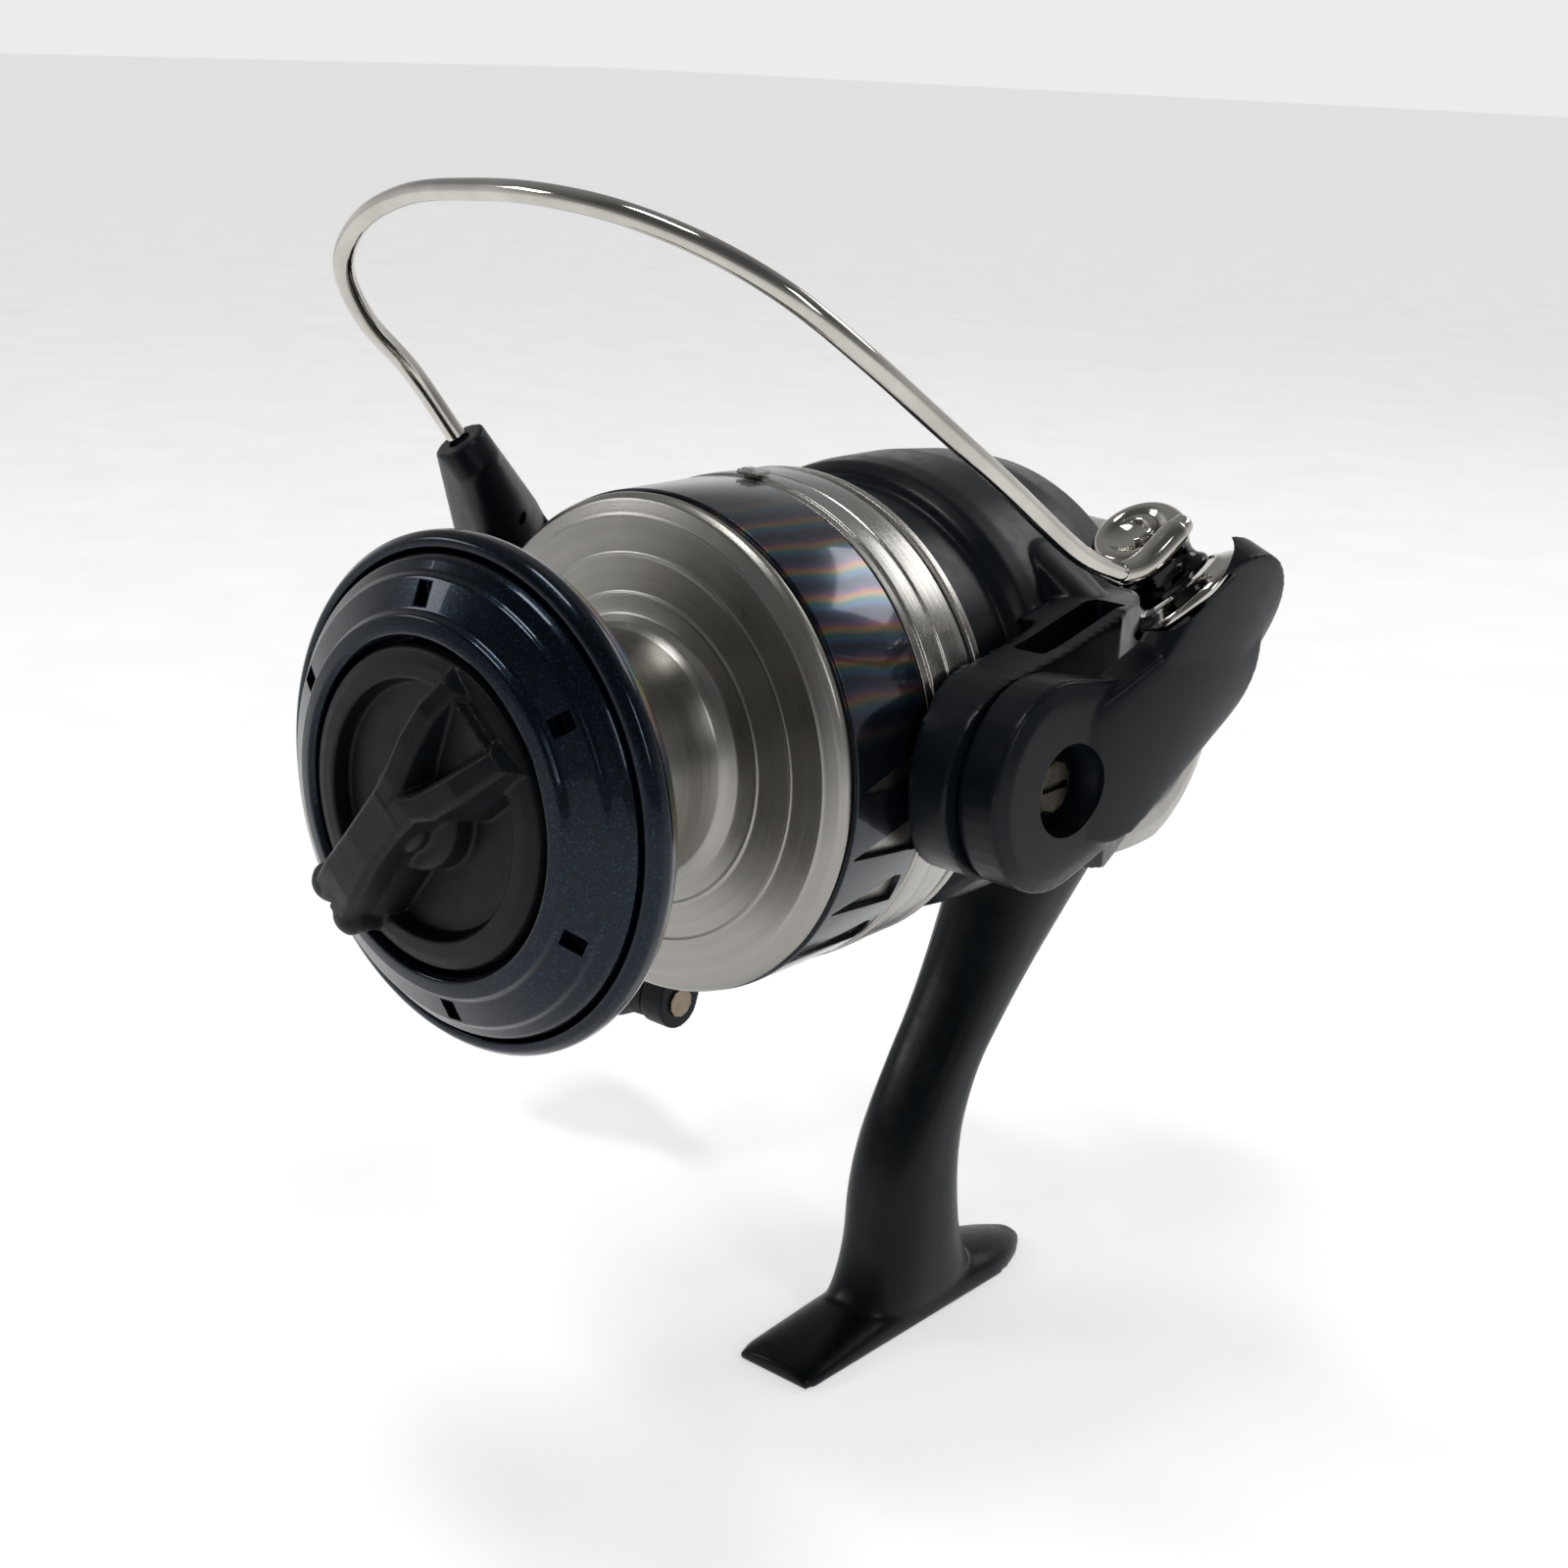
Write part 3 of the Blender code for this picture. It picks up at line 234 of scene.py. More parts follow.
BRASS = metal("brass", (0.42, 0.29, 0.11), (0.56, 0.40, 0.17), 0.22, 0.36, 0.12, 800.0)
TAN = metal("spindle_end", (0.22, 0.175, 0.13), (0.34, 0.28, 0.215), 0.35, 0.5, 0.2, 900.0)
GREY = plastic("grey_cover_paint", (0.30, 0.285, 0.265), (0.37, 0.352, 0.33), 0.30, 0.42, 0.5, 0.25, 0.5)
FELT = plastic("felt_washer", (0.06, 0.055, 0.05), (0.14, 0.125, 0.11), 0.85, 0.97, 4.0)
RUBBER = plastic("grip_rubber", (0.006, 0.006, 0.0065), (0.014, 0.014, 0.0145), 0.62, 0.80, 3.0)
NYLON = plastic("nylon", (0.50, 0.48, 0.43), (0.66, 0.63, 0.57), 0.42, 0.58, 1.0)


def label_material():
    """Dark gloss foil of the skirt, with a painted coloured sheen on the upper side and a painted lighter grey
    reflection on the lower side that faces the floor.
    """
    t = NT("skirt_foil")
    v = t.coords()
    sep = t.n("ShaderNodeSeparateXYZ")
    t.link(v, sep.inputs[0])
    z = t.math("SUBTRACT", sep.outputs[2], AXIS_Z * MM)
    ang = t.math("ARCTAN2", z, sep.outputs[0])          # 0 at +X, up to +Z
    band = t.math("ADD", t.math("MULTIPLY", ang, 7.5), t.math("MULTIPLY", sep.outputs[1], 14.0))
    warp = t.math("ADD", band, t.math("MULTIPLY", t.noise(v, 70, 4), 0.9))
    hue = t.ramp(t.math("FRACT", warp),
                 [(0.0, (0.010, 0.016, 0.030)), (0.16, (0.020, 0.045, 0.10)), (0.30, (0.02, 0.07, 0.07)), (0.42, (0.12, 0.09, 0.04)),
                  (0.52, (0.15, 0.06, 0.04)), (0.64, (0.06, 0.03, 0.07)), (0.80, (0.012, 0.02, 0.04)), (1.0, (0.010, 0.016, 0.030))])
    dark = t.ramp(t.noise(v, 200, 3), [(0.3, (0.006, 0.010, 0.018)), (0.7, (0.012, 0.017, 0.026))])
    # painted sheen: the coloured bands are laid only on the upper side, where light falls
    painted_sheen_mask = t.math("MULTIPLY", t.rng(ang, 0.0, 1.0, 0.18, 0.45), t.rng(ang, 1.0, 0.0, 1.15, 1.42))
    col = t.mix(painted_sheen_mask, dark, hue)
    # painted reflection: the lower side is painted a lighter grey where it faces the pale floor
    painted_floor_grey_mask = t.rng(ang, 1.0, 0.0, -0.35, -0.12)
    col = t.mix(painted_floor_grey_mask, col, (0.035, 0.042, 0.050))
    t.link(col, t.b.inputs["Base Color"])
    cmb = t.n("ShaderNodeCombineXYZ")
    t.link(t.math("MULTIPLY", ang, 0.029), cmb.inputs[0])
    fine = t.noise(cmb.outputs[0], 9000, 2)
    t.link(t.rng(fine, 0.12, 0.24), t.b.inputs["Roughness"])
    t.link(t.bump(fine, 0.06, 0.00005), t.b.inputs["Normal"])
    t.set(Metallic=0.75, Coat_Weight=0.5, Coat_Roughness=0.06)
    return t.m


FOIL = label_material()


# ------------------------------------------------------------------ mesh helpers
def link_mesh(name, bm, mats, smooth=35.0):
    me = bpy.data.meshes.new(name)
    bm.to_mesh(me)
    bm.free()
    o = bpy.data.objects.new(name, me)
    COL.objects.link(o)
    for m in (mats if isinstance(mats, (list, tuple)) else [mats]):
        me.materials.append(m)
    me.shade_smooth()
    me.set_sharp_from_angle(angle=math.radians(smooth))
    return o


AX = {"X": Matrix.Rotation(math.radians(90), 4, "Y"), "Y": Matrix.Rotation(math.radians(-90), 4, "X"), "Z": Matrix()}


def frame_of(axis, at):
    r = AX[axis] if isinstance(axis, str) else Vector(axis).normalized().to_track_quat("Z", "Y").to_matrix().to_4x4()
    return Matrix.Translation(W(at)) @ r


def fillet(pts, rad, k=4, ring=True):
    out, n = [], len(pts)
    for i, p in enumerate(pts):
        if not ring and i in (0, n - 1):
            out.append(p)
            continue
        a, b, c = Vector(pts[i - 1]), Vector(p), Vector(pts[(i + 1) % n])
        if (b - a).length < 1e-6 or (c - b).length < 1e-6 or p[0] < 1e-6:
            out.append(p)
            continue
        d1 = min(rad, (b - a).length * 0.42)
        d2 = min(rad, (c - b).length * 0.42)
        s, e = b + (a - b).normalized() * d1, b + (c - b).normalized() * d2
        for j in range(k + 1):
            t = j / k
            q = s * (1 - t) ** 2 + b * 2 * t * (1 - t) + e * t * t
            out.append((q.x, q.y))
    return out


def lathe(name, prof, mat, axis="Y", at=(0, 0, 0), seg=128, rad=0.25, ring=True, pick=None, smooth=40.0, k=4):
    """Turned solid from a (radius, height) profile in mm with rounded corners."""
    pts = fillet(prof, rad, k, ring) if rad else list(prof)
    m = frame_of(axis, at)
    bm = bmesh.new()
    rows = []
    for r, h in pts:
        if r < 1e-6:
            rows.append([bm.verts.new(m @ Vector((0, 0, h * MM)))])
        else:
            rows.append([bm.verts.new(m @ Vector((r * MM * math.cos(math.tau * j / seg), r * MM * math.sin(math.tau * j / seg), h * MM))) for j in range(seg)])
    last = len(rows) if ring else len(rows) - 1
    for i in range(last):
        a, b = rows[i], rows[(i + 1) % len(rows)]
        mid = ((pts[i][0] + pts[(i + 1) % len(pts)][0]) / 2, (pts[i][1] + pts[(i + 1) % len(pts)][1]) / 2)
        for j in range(seg):
            j2 = (j + 1) % seg
            if len(a) == 1 and len(b) == 1:
                continue
            if len(a) == 1:
                f = bm.faces.new((a[0], b[j], b[j2]))
            elif len(b) == 1:
                f = bm.faces.new((a[j], b[0], a[j2]))
            else:
                f = bm.faces.new((a[j], b[j], b[j2], a[j2]))
            if pick:
                f.material_index = pick(*mid)
    bmesh.ops.recalc_face_normals(bm, faces=bm.faces)
    return link_mesh(name, bm, mat, smooth)


def rbox(name, x0, x1, y0, y1, z0, z1, mat, bev=0.3, turn=None, at=None, seg=3):
    bm = bmesh.new()
    bmesh.ops.create_cube(bm, size=1.0)
    c, d = Vector(((x0 + x1) / 2, (y0 + y1) / 2, (z0 + z1) / 2)), Vector((x1 - x0, y1 - y0, z1 - z0)) * MM
    for v in bm.verts:
        v.co = Vector((v.co.x * d.x, v.co.y * d.y, v.co.z * d.z)) + W(c)
    if bev:
        bmesh.ops.bevel(bm, geom=bm.edges[:], offset=bev * MM, segments=seg, affect="EDGES", profile=0.5)
    if turn:
        p = W(at)
        bmesh.ops.transform(bm, matrix=Matrix.Translation(p) @ Matrix.Rotation(math.radians(turn[0]), 4, turn[1]) @ Matrix.Translation(-p), verts=bm.verts)
    return link_mesh(name, bm, mat)


def prism(name, outline, axis, h0, h1, mat):
    bm = bmesh.new()
    lo, hi = [], []
    for u, v in outline:
        for ring, h in ((lo, h0), (hi, h1)):
            ring.append(bm.verts.new(W((h, u, v) if axis == "X" else (u, h, v) if axis == "Y" else (u, v, h))))
    bm.faces.new(lo)
    bm.faces.new(hi)
    n = len(outline)
    for i in range(n):
        bm.faces.new((lo[i], lo[(i + 1) % n], hi[(i + 1) % n], hi[i]))
    bmesh.ops.recalc_face_normals(bm, faces=bm.faces)
    return link_mesh(name, bm, mat)


def hull(name, mat, *discs, pts=(), n=40):
    bm = bmesh.new()
    for c, axis, r, h in discs:
        m = frame_of(axis, c)
        for i in range(n):
            for s in (-h / 2, h / 2):
                bm.verts.new(m @ Vector((r * MM * math.cos(math.tau * i / n), r * MM * math.sin(math.tau * i / n), s * MM)))
    for p in pts:
        bm.verts.new(W(p))
    r = bmesh.ops.convex_hull(bm, input=bm.verts)
    gone = {e for e in r["geom_interior"] + r["geom_unused"] if isinstance(e, bmesh.types.BMVert)}
    bmesh.ops.delete(bm, geom=list(gone), context="VERTS")
    bmesh.ops.recalc_face_normals(bm, faces=bm.faces)
    return link_mesh(name, bm, mat)


def loft(name, secs, mat):
    bm = bmesh.new()
    rings = [[bm.verts.new(W(p)) for p in s] for s in secs]
    for a, b in zip(rings, rings[1:]):
        n = len(a)
        for i in range(n):
            bm.faces.new((a[i], a[(i + 1) % n], b[(i + 1) % n], b[i]))
    bm.faces.new(rings[0])
    bm.faces.new(rings[-1])
    bmesh.ops.recalc_face_normals(bm, faces=bm.faces)
    return link_mesh(name, bm, mat)


def drop(*objs):
    for o in objs:
        bpy.data.objects.remove(o, do_unlink=True)


def bake(o):
    bpy.context.view_layer.update()
    dg = bpy.context.evaluated_depsgraph_get()
    me = bpy.data.meshes.new_from_object(o.evaluated_get(dg))
    o.modifiers.clear()
    o.data = me
    return o


def cut(o, *cutters, op="DIFFERENCE"):
    for c in cutters:
        m = o.modifiers.new("b", "BOOLEAN")
        m.operation, m.solver, m.object = op, "EXACT", c
        bake(o)
        drop(c)
    o.data.shade_smooth()
    o.data.set_sharp_from_angle(angle=math.radians(32))
    return o


def fuse(name, objs, mat, voxel=0.4, smooth=4, factor=0.5):
    """One moulded body: overlapping solids joined on a fine grid, with softened corners."""
    bm = bmesh.new()
    for o in objs:
        bm.from_mesh(o.data)
    drop(*objs)
    o = link_mesh(name, bm, mat)
    r = o.modifiers.new("r", "REMESH")
    r.mode, r.voxel_size, r.use_smooth_shade = "VOXEL", voxel * MM, True
    if smooth:
        s = o.modifiers.new("s", "SMOOTH")
        s.factor, s.iterations = factor, smooth
    bake(o)
    o.data.materials.clear()
    o.data.materials.append(mat)
    o.data.shade_smooth()
    return o


def catmull(pts, per=6):
    P = [Vector(p) for p in pts]
    P = [2 * P[0] - P[1]] + P + [2 * P[-1] - P[-2]]
    out = []
    for i in range(1, len(P) - 2):
        a, b, c, d = P[i - 1], P[i], P[i + 1], P[i + 2]
        for k in range(per):
            t = k / per
            out.append(0.5 * ((2 * b) + (c - a) * t + (2 * a - 5 * b + 4 * c - d) * t * t + (3 * b - a - 3 * c + d) * t ** 3))
    out.append(P[-2])
    return out


def tube(name, pts, radii, mat, sides=20, cap=True):
    """Round bar along a route, radius given along it."""
    bm = bmesh.new()
    P = [W(p) for p in pts]
    n = len(P)
    T = [(P[min(i + 1, n - 1)] - P[max(i - 1, 0)]).normalized() for i in range(n)]
    u = T[0].orthogonal().normalized()
    rings = []
    for i in range(n):
        u = (u - T[i] * u.dot(T[i])).normalized()
        w = T[i].cross(u)
        r = (radii[i] if isinstance(radii, (list, tuple)) else radii) * MM
        rings.append([bm.verts.new(P[i] + (u * math.cos(math.tau * j / sides) + w * math.sin(math.tau * j / sides)) * r) for j in range(sides)])
    for a, b in zip(rings, rings[1:]):
        for j in range(sides):
            bm.faces.new((a[j], a[(j + 1) % sides], b[(j + 1) % sides], b[j]))
    bm.faces.new(rings[0])
    bm.faces.new(rings[-1])
    bmesh.ops.recalc_face_normals(bm, faces=bm.faces)
    return link_mesh(name, bm, mat)


def put(o, body, slot=None, *nodes):
    if nodes:
        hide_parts(*nodes)
    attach(o, body)
    return o


# ================================================================== SPOOL
lip = lathe("v_spool_lip", [(12.3, 1.6), (12.3, 4.9), (15.2, 4.9), (27.3, 4.25), (28.4, 2.9), (29.0, 1.5), (29.0, 0.1), (28.2, -0.9), (27.15, -0.9), (27.15, 1.6)],
            [NAVY, LIP_BACK], seg=192, rad=0.45, pick=lambda r, h: 1 if h > 2.0 else 0)
put(lip, "spool", "gloss_navy", "spool_lip")

cover = lathe("v_front_cover", [(18.4, 1.3), (18.4, -5.6), (19.0, -6.3), (20.9, -5.9), (21.25, -5.0), (24.7, -3.45), (25.0, -2.75), (26.3, -1.85), (26.75, -1.0), (26.75, 1.3)],
              NAVY, seg=192, rad=0.32)
for k in range(6):
    a = 35 + 60 * k
    c = (22.95 * math.cos(math.radians(a)), 22.95 * math.sin(math.radians(a)))
    cover = cut(cover, rbox("c", c[0] - 1.3, c[0] + 1.3, -6.5, -2.6, c[1] - 1.05, c[1] + 1.05, NAVY, 0.12, turn=(-a, "Y"), at=(c[0], 0, c[1])))
put(cover, "spool", "gloss_navy", "front_cover")

body = lathe("v_spool_body", [(28.0, 43.3), (29.15, 43.3), (29.15, 29.85), (29.7, 29.25), (29.65, 28.6), (29.1, 27.95), (27.4, 27.35), (27.2, 27.2), (23.2, 26.95),
                              (22.9, 26.75), (22.6, 26.93), (18.7, 26.45), (18.4, 26.2), (18.1, 26.36), (16.2, 25.75), (15.3, 25.0), (14.7, 24.3), (14.45, 23.2), (14.3, 22.0),
                              (14.3, 5.2), (12.0, 5.2), (11.8, 17.6), (3.7, 17.6), (3.7, 22.0), (8.0, 22.0), (9.5, 26.2), (16.0, 28.2), (26.2, 29.2), (28.0, 31.0)],
             ALU, seg=224, rad=0.22, smooth=50)
put(body, "spool", "machined_spool", "spool_body")

band = lathe("v_skirt_band", [(29.3, 43.1), (29.95, 43.1), (29.95, 30.1), (29.3, 30.1)], FOIL, seg=256, rad=0.12)
wins = []
for k in range(7):
    t0 = 1.0 - 15.0 * k
    pts = [(r * math.cos(math.radians(t)), y, r * math.sin(math.radians(t)))
           for t, y in ((t0 - 0.3, 31.0), (t0 + 0.3, 31.0), (t0 + 6.0, 40.8), (t0 + 5.2, 42.0), (t0 - 2.6, 42.4)) for r in (28.6, 31.2)]
    wins.append(hull("w", FOIL, pts=pts))
band = cut(band, *wins)
put(band, "spool", "gloss_navy", "skirt_band")

# the narrow groove between the stepped bands takes the near-black metal as painted shade
sring = lathe("v_skirt_ring", [(28.0, 43.45), (28.0, 55.2), (29.6, 55.2), (29.9, 54.8), (29.9, 53.7), (29.15, 53.55), (29.15, 52.65), (29.95, 52.45), (29.95, 48.4),
                               (29.75, 48.2), (29.75, 47.8), (30.1, 47.55), (30.1, 44.9), (29.8, 44.7), (29.8, 43.6)],
              [ALU_RING, GROOVE_PAINTED_SHADE], seg=224, rad=0.14, pick=lambda r, h: 1 if 52.6 < h < 53.65 and r < 29.5 else 0)
put(sring, "spool", "machined_spool", "skirt_ring")
clip = fuse("v_line_clip", [rbox("a", -1.6, 1.6, 43.9, 46.6, 30.22, 30.78, NYLON, 0.15), rbox("b", -0.9, 0.9, 43.9, 44.7, 30.3, 31.05, NYLON, 0.15)], ALU_RING, 0.08, 3)
put(clip, "spool", "machined_spool", "line_clip")

# ================================================================== DRAG KNOB
A = 50.0
kd = lathe("kd", [(0, -4.7), (13.7, -4.8), (14.3, -6.75), (16.2, -6.6), (17.5, -6.1), (17.85, -5.2), (17.85, 0.7), (16.6, 0.7), (16.6, -3.0), (0, -3.0)], KNOB_BLACK, seg=160, rad=0.22, ring=False)
ca, sa = math.cos(math.radians(A)), math.sin(math.radians(A))


def kp(s, w, y):
    """Point on the knob: s along the bar, w across it."""
    return (s * ca - w * sa, y, s * sa + w * ca)


def knob_bar(stations):
    """Tapered bar: (s, w of the centre line, half width at the root, half width on top, top y)."""
    secs = []
    for s, w, wb, wt, yt in stations:
        secs.append([kp(s, w + dw, y) for dw, y in ((-wb, -3.6), (-wb, -5.4), (-(wb * 0.3 + wt * 0.7), (yt - 5.4) / 2), (-wt, yt + 0.6), (-wt + 0.6, yt),
                                                    (wt - 0.6, yt), (wt, yt + 0.6), (wb * 0.3 + wt * 0.7, (yt - 5.4) / 2), (wb, -5.4), (wb, -3.6))])
    return loft("bar", secs, KNOB_BLACK)


lower = knob_bar([(-17.2, 0.0, 4.6, 3.3, -9.4), (-15.6, 0.0, 4.8, 3.4, -11.2), (-11.0, 0.0, 4.6, 3.1, -12.2), (-5.0, 0.0, 4.3, 2.8, -12.6), (2.5, 0.0, 4.6, 2.9, -12.6)])
left_rail = knob_bar([(0.0, 0.9, 3.4, 1.8, -12.6), (5.0, 1.7, 3.3, 1.6, -12.4), (9.0, 3.2, 3.0, 1.5, -11.7), (13.0, 4.3, 2.7, 1.4, -10.6), (16.0, 4.9, 2.5, 1.3, -8.6)])
right_rail = knob_bar([(0.0, -0.9, 3.4, 1.9, -12.6), (4.4, -1.5, 3.4, 1.8, -12.5), (6.4, -2.9, 3.4, 1.8, -12.2), (11.0, -4.1, 3.1, 1.7, -11.3), (16.0, -4.9, 2.8, 1.6, -8.9)])
web = loft("web", [[kp(s, w, y) for s, w in ((3.0, -1.6), (15.2, -4.6), (15.2, 4.6), (3.0, 1.6))] for y in (-3.6, -8.2)], KNOB_BLACK)
hub = lathe("hub", [(0, -10.2), (3.3, -10.0), (3.9, -9.4), (4.0, -8.1), (5.8, -7.9), (6.4, -7.2), (6.6, -4.0), (0, -4.0)], KNOB_BLACK, seg=64, rad=0.25, ring=False)
lobes = [lathe("l", [(0, -11.4), (1.3, -11.1), (2.2, -10.2), (2.3, -6.6), (1.6, -5.2), (0, -5.0)], KNOB_BLACK, seg=40, rad=0.4, ring=False, at=(kp(-15.3, w, 0)[0], 0, kp(-15.3, w, 0)[2])) for w in (-2.3, 2.3)]
stemk = lathe("sk", [(2.2, -3.6), (5.6, -3.6), (5.6, 4.4), (4.4, 4.4), (4.4, -2.6), (2.2, -2.6)], KNOB_BLACK, seg=48, rad=0.1)
knob = fuse("v_drag_knob", [kd, lower, left_rail, right_rail, web, hub, *lobes], KNOB_BLACK, 0.2, 3)
knob = cut(knob, loft("n", [[kp(s, w, y) for s, w in ((-19.0, -0.8), (-14.2, -0.35), (-14.2, 0.35), (-19.0, 0.8))] for y in (-14.0, -7.4)], KNOB_BLACK))
knob.data.shade_smooth()
put(knob, "drag_knob", "satin_black", "drag_knob")
put(stemk, "drag_knob", "satin_black")

# ================================================================== ROTOR
cup = lathe("cup", [(25.4, 39.8), (26.6, 39.8), (27.0, 40.3), (27.0, 64.6), (28.2, 65.2), (29.3, 67.0), (29.6, 70.0), (29.6, 78.0), (28.9, 86.0), (27.5, 92.6), (26.6, 93.3),
                    (25.4, 92.4), (25.4, 69.0), (24.0, 66.0), (3.95, 66.0), (3.95, 59.6), (25.4, 59.6)], BLACK_ARM, seg=160, rad=0.35)
arms = []
for s in (1, -1):
    out = []
    for i in range(33):
        a = math.radians(90 + 180 * i / 32)
        out.append((PIVOT_Y + 14.2 * math.cos(a) * (1.0 if True else 1), 12.2 * math.sin(a)))
    out += [(60.0, -13.4), (72.0, -16.2), (82.0, -15.8), (89.0, -10.0), (89.0, 10.0), (82.0, 15.8), (72.0, 16.2), (60.0, 13.4)]
    p = prism("arm", out, "X", min(s * 25.8, s * 36.75), max(s * 25.8, s * 36.75), BLACK_ARM)
    trim = prism("t", [(s * 28.0, 95.0), (s * 50.0, 95.0), (s * 50.0, 69.0), (s * 36.8, 70.0)], "Z", -30, 30, BLACK_ARM)
    clear = lathe("c", [(0, 20.0), (31.5, 20.0), (31.5, 64.9), (0, 64.9)], BLACK_ARM, seg=96, rad=0, ring=False)
    arms.append(cut(p, trim, clear))
    # shoulder that runs from the arm over the cup
    arms.append(hull("sh", BLACK_ARM, ((s * 30.0, 75.0, 9.0), "X", 4.5, 9.0), ((s * 22.0, 76.0, 17.5), (s * 0.7, 0, 0.7), 4.0, 4.0)))
    arms.append(hull("sh", BLACK_ARM, ((s * 30.0, 75.0, -9.0), "X", 4.5, 9.0), ((s * 22.0, 76.0, -17.5), (s * 0.7, 0, -0.7), 4.0, 4.0)))
rotor = fuse("v_rotor", [cup, *arms], BLACK_ARM, 0.34, 3)
cuts = [rbox("c", 30.2, 34.7, 57.0, 74.5, 10.4, 24.0, BLACK_ARM, 0.8)]
for s in (1, -1):
    lo, hi = sorted((s * 32.6, s * 40.0))
    cuts.append(rbox("c", lo, hi, 60.5, 78.0, -7.0, 9.5, BLACK_ARM, 1.2))
    cuts.append(lathe("c", [(0, s * 33.1), (1.55, s * 33.1), (1.55, s * 40), (0, s * 40)], BLACK_ARM, "X", (0, PIVOT_Y, 0), 24, 0, False))
for a in (-60, 60, 120, 240):
    c = (15.0 * math.cos(math.radians(a)), 15.0 * math.sin(math.radians(a)))
    cuts.append(lathe("c", [(0, 55), (3.0, 55), (3.0, 70), (0, 70)], BLACK_ARM, "Y", (c[0], 0, c[1]), 32, 0, False))
rotor = cut(rotor, *cuts)
put(rotor, "rotor", "satin_black", "rotor")

coil = []
for i in range(7 * 24 + 1):
    t = i / 24 * math.tau
    coil.append((34.6 + 1.35 * math.cos(t), 62.2 + 12.2 * i / 168, 5.6 + 1.35 * math.sin(t)))
put(tube("v_bail_spring", coil, 0.3, STEEL, 10), "rotor", "steel", "bail_spring")

# ================================================================== BAIL
far_n = (0.93, -0.10, -0.34)
arm = fuse("v_bail_arm", [
    hull("a", BLACK_ARM, ((39.55, PIVOT_Y, 0), "X", 12.4, 5.1), ((42.1, PIVOT_Y, 0), "X", 10.6, 1.6), ((42.6, 66.5, 2.6), (1.0, -0.14, 0.05), 7.4, 4.2)),
    hull("b", BLACK_ARM, ((42.2, 60.0, 1.0), (1.0, -0.12, 0.03), 9.0, 4.4), ((44.7, 75.2, 10.2), (0.97, -0.14, -0.22), 8.5, 4.3)),
    hull("c", BLACK_ARM, ((43.7, 70.2, 6.8), (0.97, -0.14, -0.15), 8.0, 4.2), ((45.8, 76.2, 17.0), far_n, 9.1, 4.6)),
], BLACK_ARM, 0.26, 9)
seat = lathe("c", [(0, 9.0), (8.35, 9.0), (8.35, -1.0), (0, -1.0)], BLACK_ARM, ROLL_V, tuple(ROLL_C), 64, 0.3, False)
bore = lathe("c", [(0, 1.0), (1.5, 1.0), (1.5, -3.2), (0, -3.2)], BLACK_ARM, ROLL_V, tuple(ROLL_C), 24, 0, False)
rec = lathe("c", [(0, 39.6), (5.0, 39.6), (5.0, 42.6), (5.5, 43.4), (5.6, 50), (0, 50)], BLACK_ARM, "X", (0, PIVOT_Y, 0), 64, 0, False)
piv = lathe("c", [(0, 30), (2.2, 30), (2.2, 50), (0, 50)], BLACK_ARM, "X", (0, PIVOT_Y, 0), 32, 0, False)
arm = cut(arm, seat, bore, rec, piv)
put(arm, "bail", "satin_black", "bail_arm")

put(lathe("v_roller_collar", [(1.6, -0.7), (7.2, -0.7), (7.95, 0.0), (7.6, 0.7), (6.2, 1.35), (5.6, 1.8), (5.2, 1.4), (1.6, 1.3)], CHROME, ROLL_V, tuple(ROLL_C), 96, 0.3), "bail", "chrome", "roller_collar")
put(lathe("v_line_roller", [(2.6, 2.0), (4.9, 2.0), (4.9, 2.7), (4.25, 3.5), (4.15, 4.2), (4.4, 5.0), (4.9, 5.6), (4.9, 6.2), (2.6, 6.2)], DARK_CHROME, ROLL_V, tuple(ROLL_C), 96, 0.2), "line_roller", "roller_coat", "line_roller")

WIRE = [(-31.5, 26.7, 32.4), (-33.6, 21.6, 40.3), (-33.4, 14.6, 46.9), (-30.4, 9.2, 53.3), (-24.3, 6.8, 58.7), (-14.8, 5.4, 62.2), (-3.0, 3.9, 63.5), (8.5, 2.5, 63.8),
        (18.7, 3.2, 62.8), (27.8, 5.9, 60.1), (34.6, 10.1, 56.0), (38.5, 16.9, 50.3), (40.5, 26.2, 43.5), (41.9, 37.1, 36.0), (42.4, 50.2, 27.4), (42.6, 57.8, 24.1), (42.5, 62.3, 22.9)]
nc = ROLL_C + ROLL_V * 8.0
end = Vector(WIRE[-1])
turn_in = (Vector(WIRE[-2]) + end) / 2
route = catmull(WIRE[:-1] + [tuple(turn_in)], 8)
put(tube("v_bail_wire", route, 1.2, CHROME, 24), "bail", "chrome", "bail_wire")

# nose cap: smooth dome that the wire flows into along its lower side
NV = Vector((-0.10, -0.56, 0.82)).normalized()
NC = ROLL_C + ROLL_V * 8.1 + Vector((0.5, -0.9, 0.0))
nose = lathe("v_nose_cap", [(0, 1.5), (1.6, 1.6), (3.0, 2.1), (3.9, 2.75), (4.9, 2.6), (5.7, 1.7), (6.0, 0.4), (5.8, -1.0), (5.0, -2.3), (3.4, -3.4), (0, -3.8)], CHROME, NV, tuple(NC), 128, 0.6, False)
below = lathe("c", [(0, 6.5), (12.0, 6.5), (12.0, -6.0), (0, -6.0)], CHROME, ROLL_V, tuple(ROLL_C), 48, 0, False)
shank = lathe("c", [(0, 8.6), (1.5, 8.6), (1.5, 5.0), (0, 5.0)], CHROME, ROLL_V, tuple(ROLL_C), 32, 0, False)
nose = cut(nose, below, shank)
put(nose, "bail", "chrome", "nose_cap")
du = (end - NC)
du = (du - NV * du.dot(NV)).normalized()
dv = NV.cross(du).normalized()
if dv.dot(Vector((0.757, 0.652, 0.037))) < 0:
    dv = -dv
away = (end - Vector(WIRE[-2])).normalized()
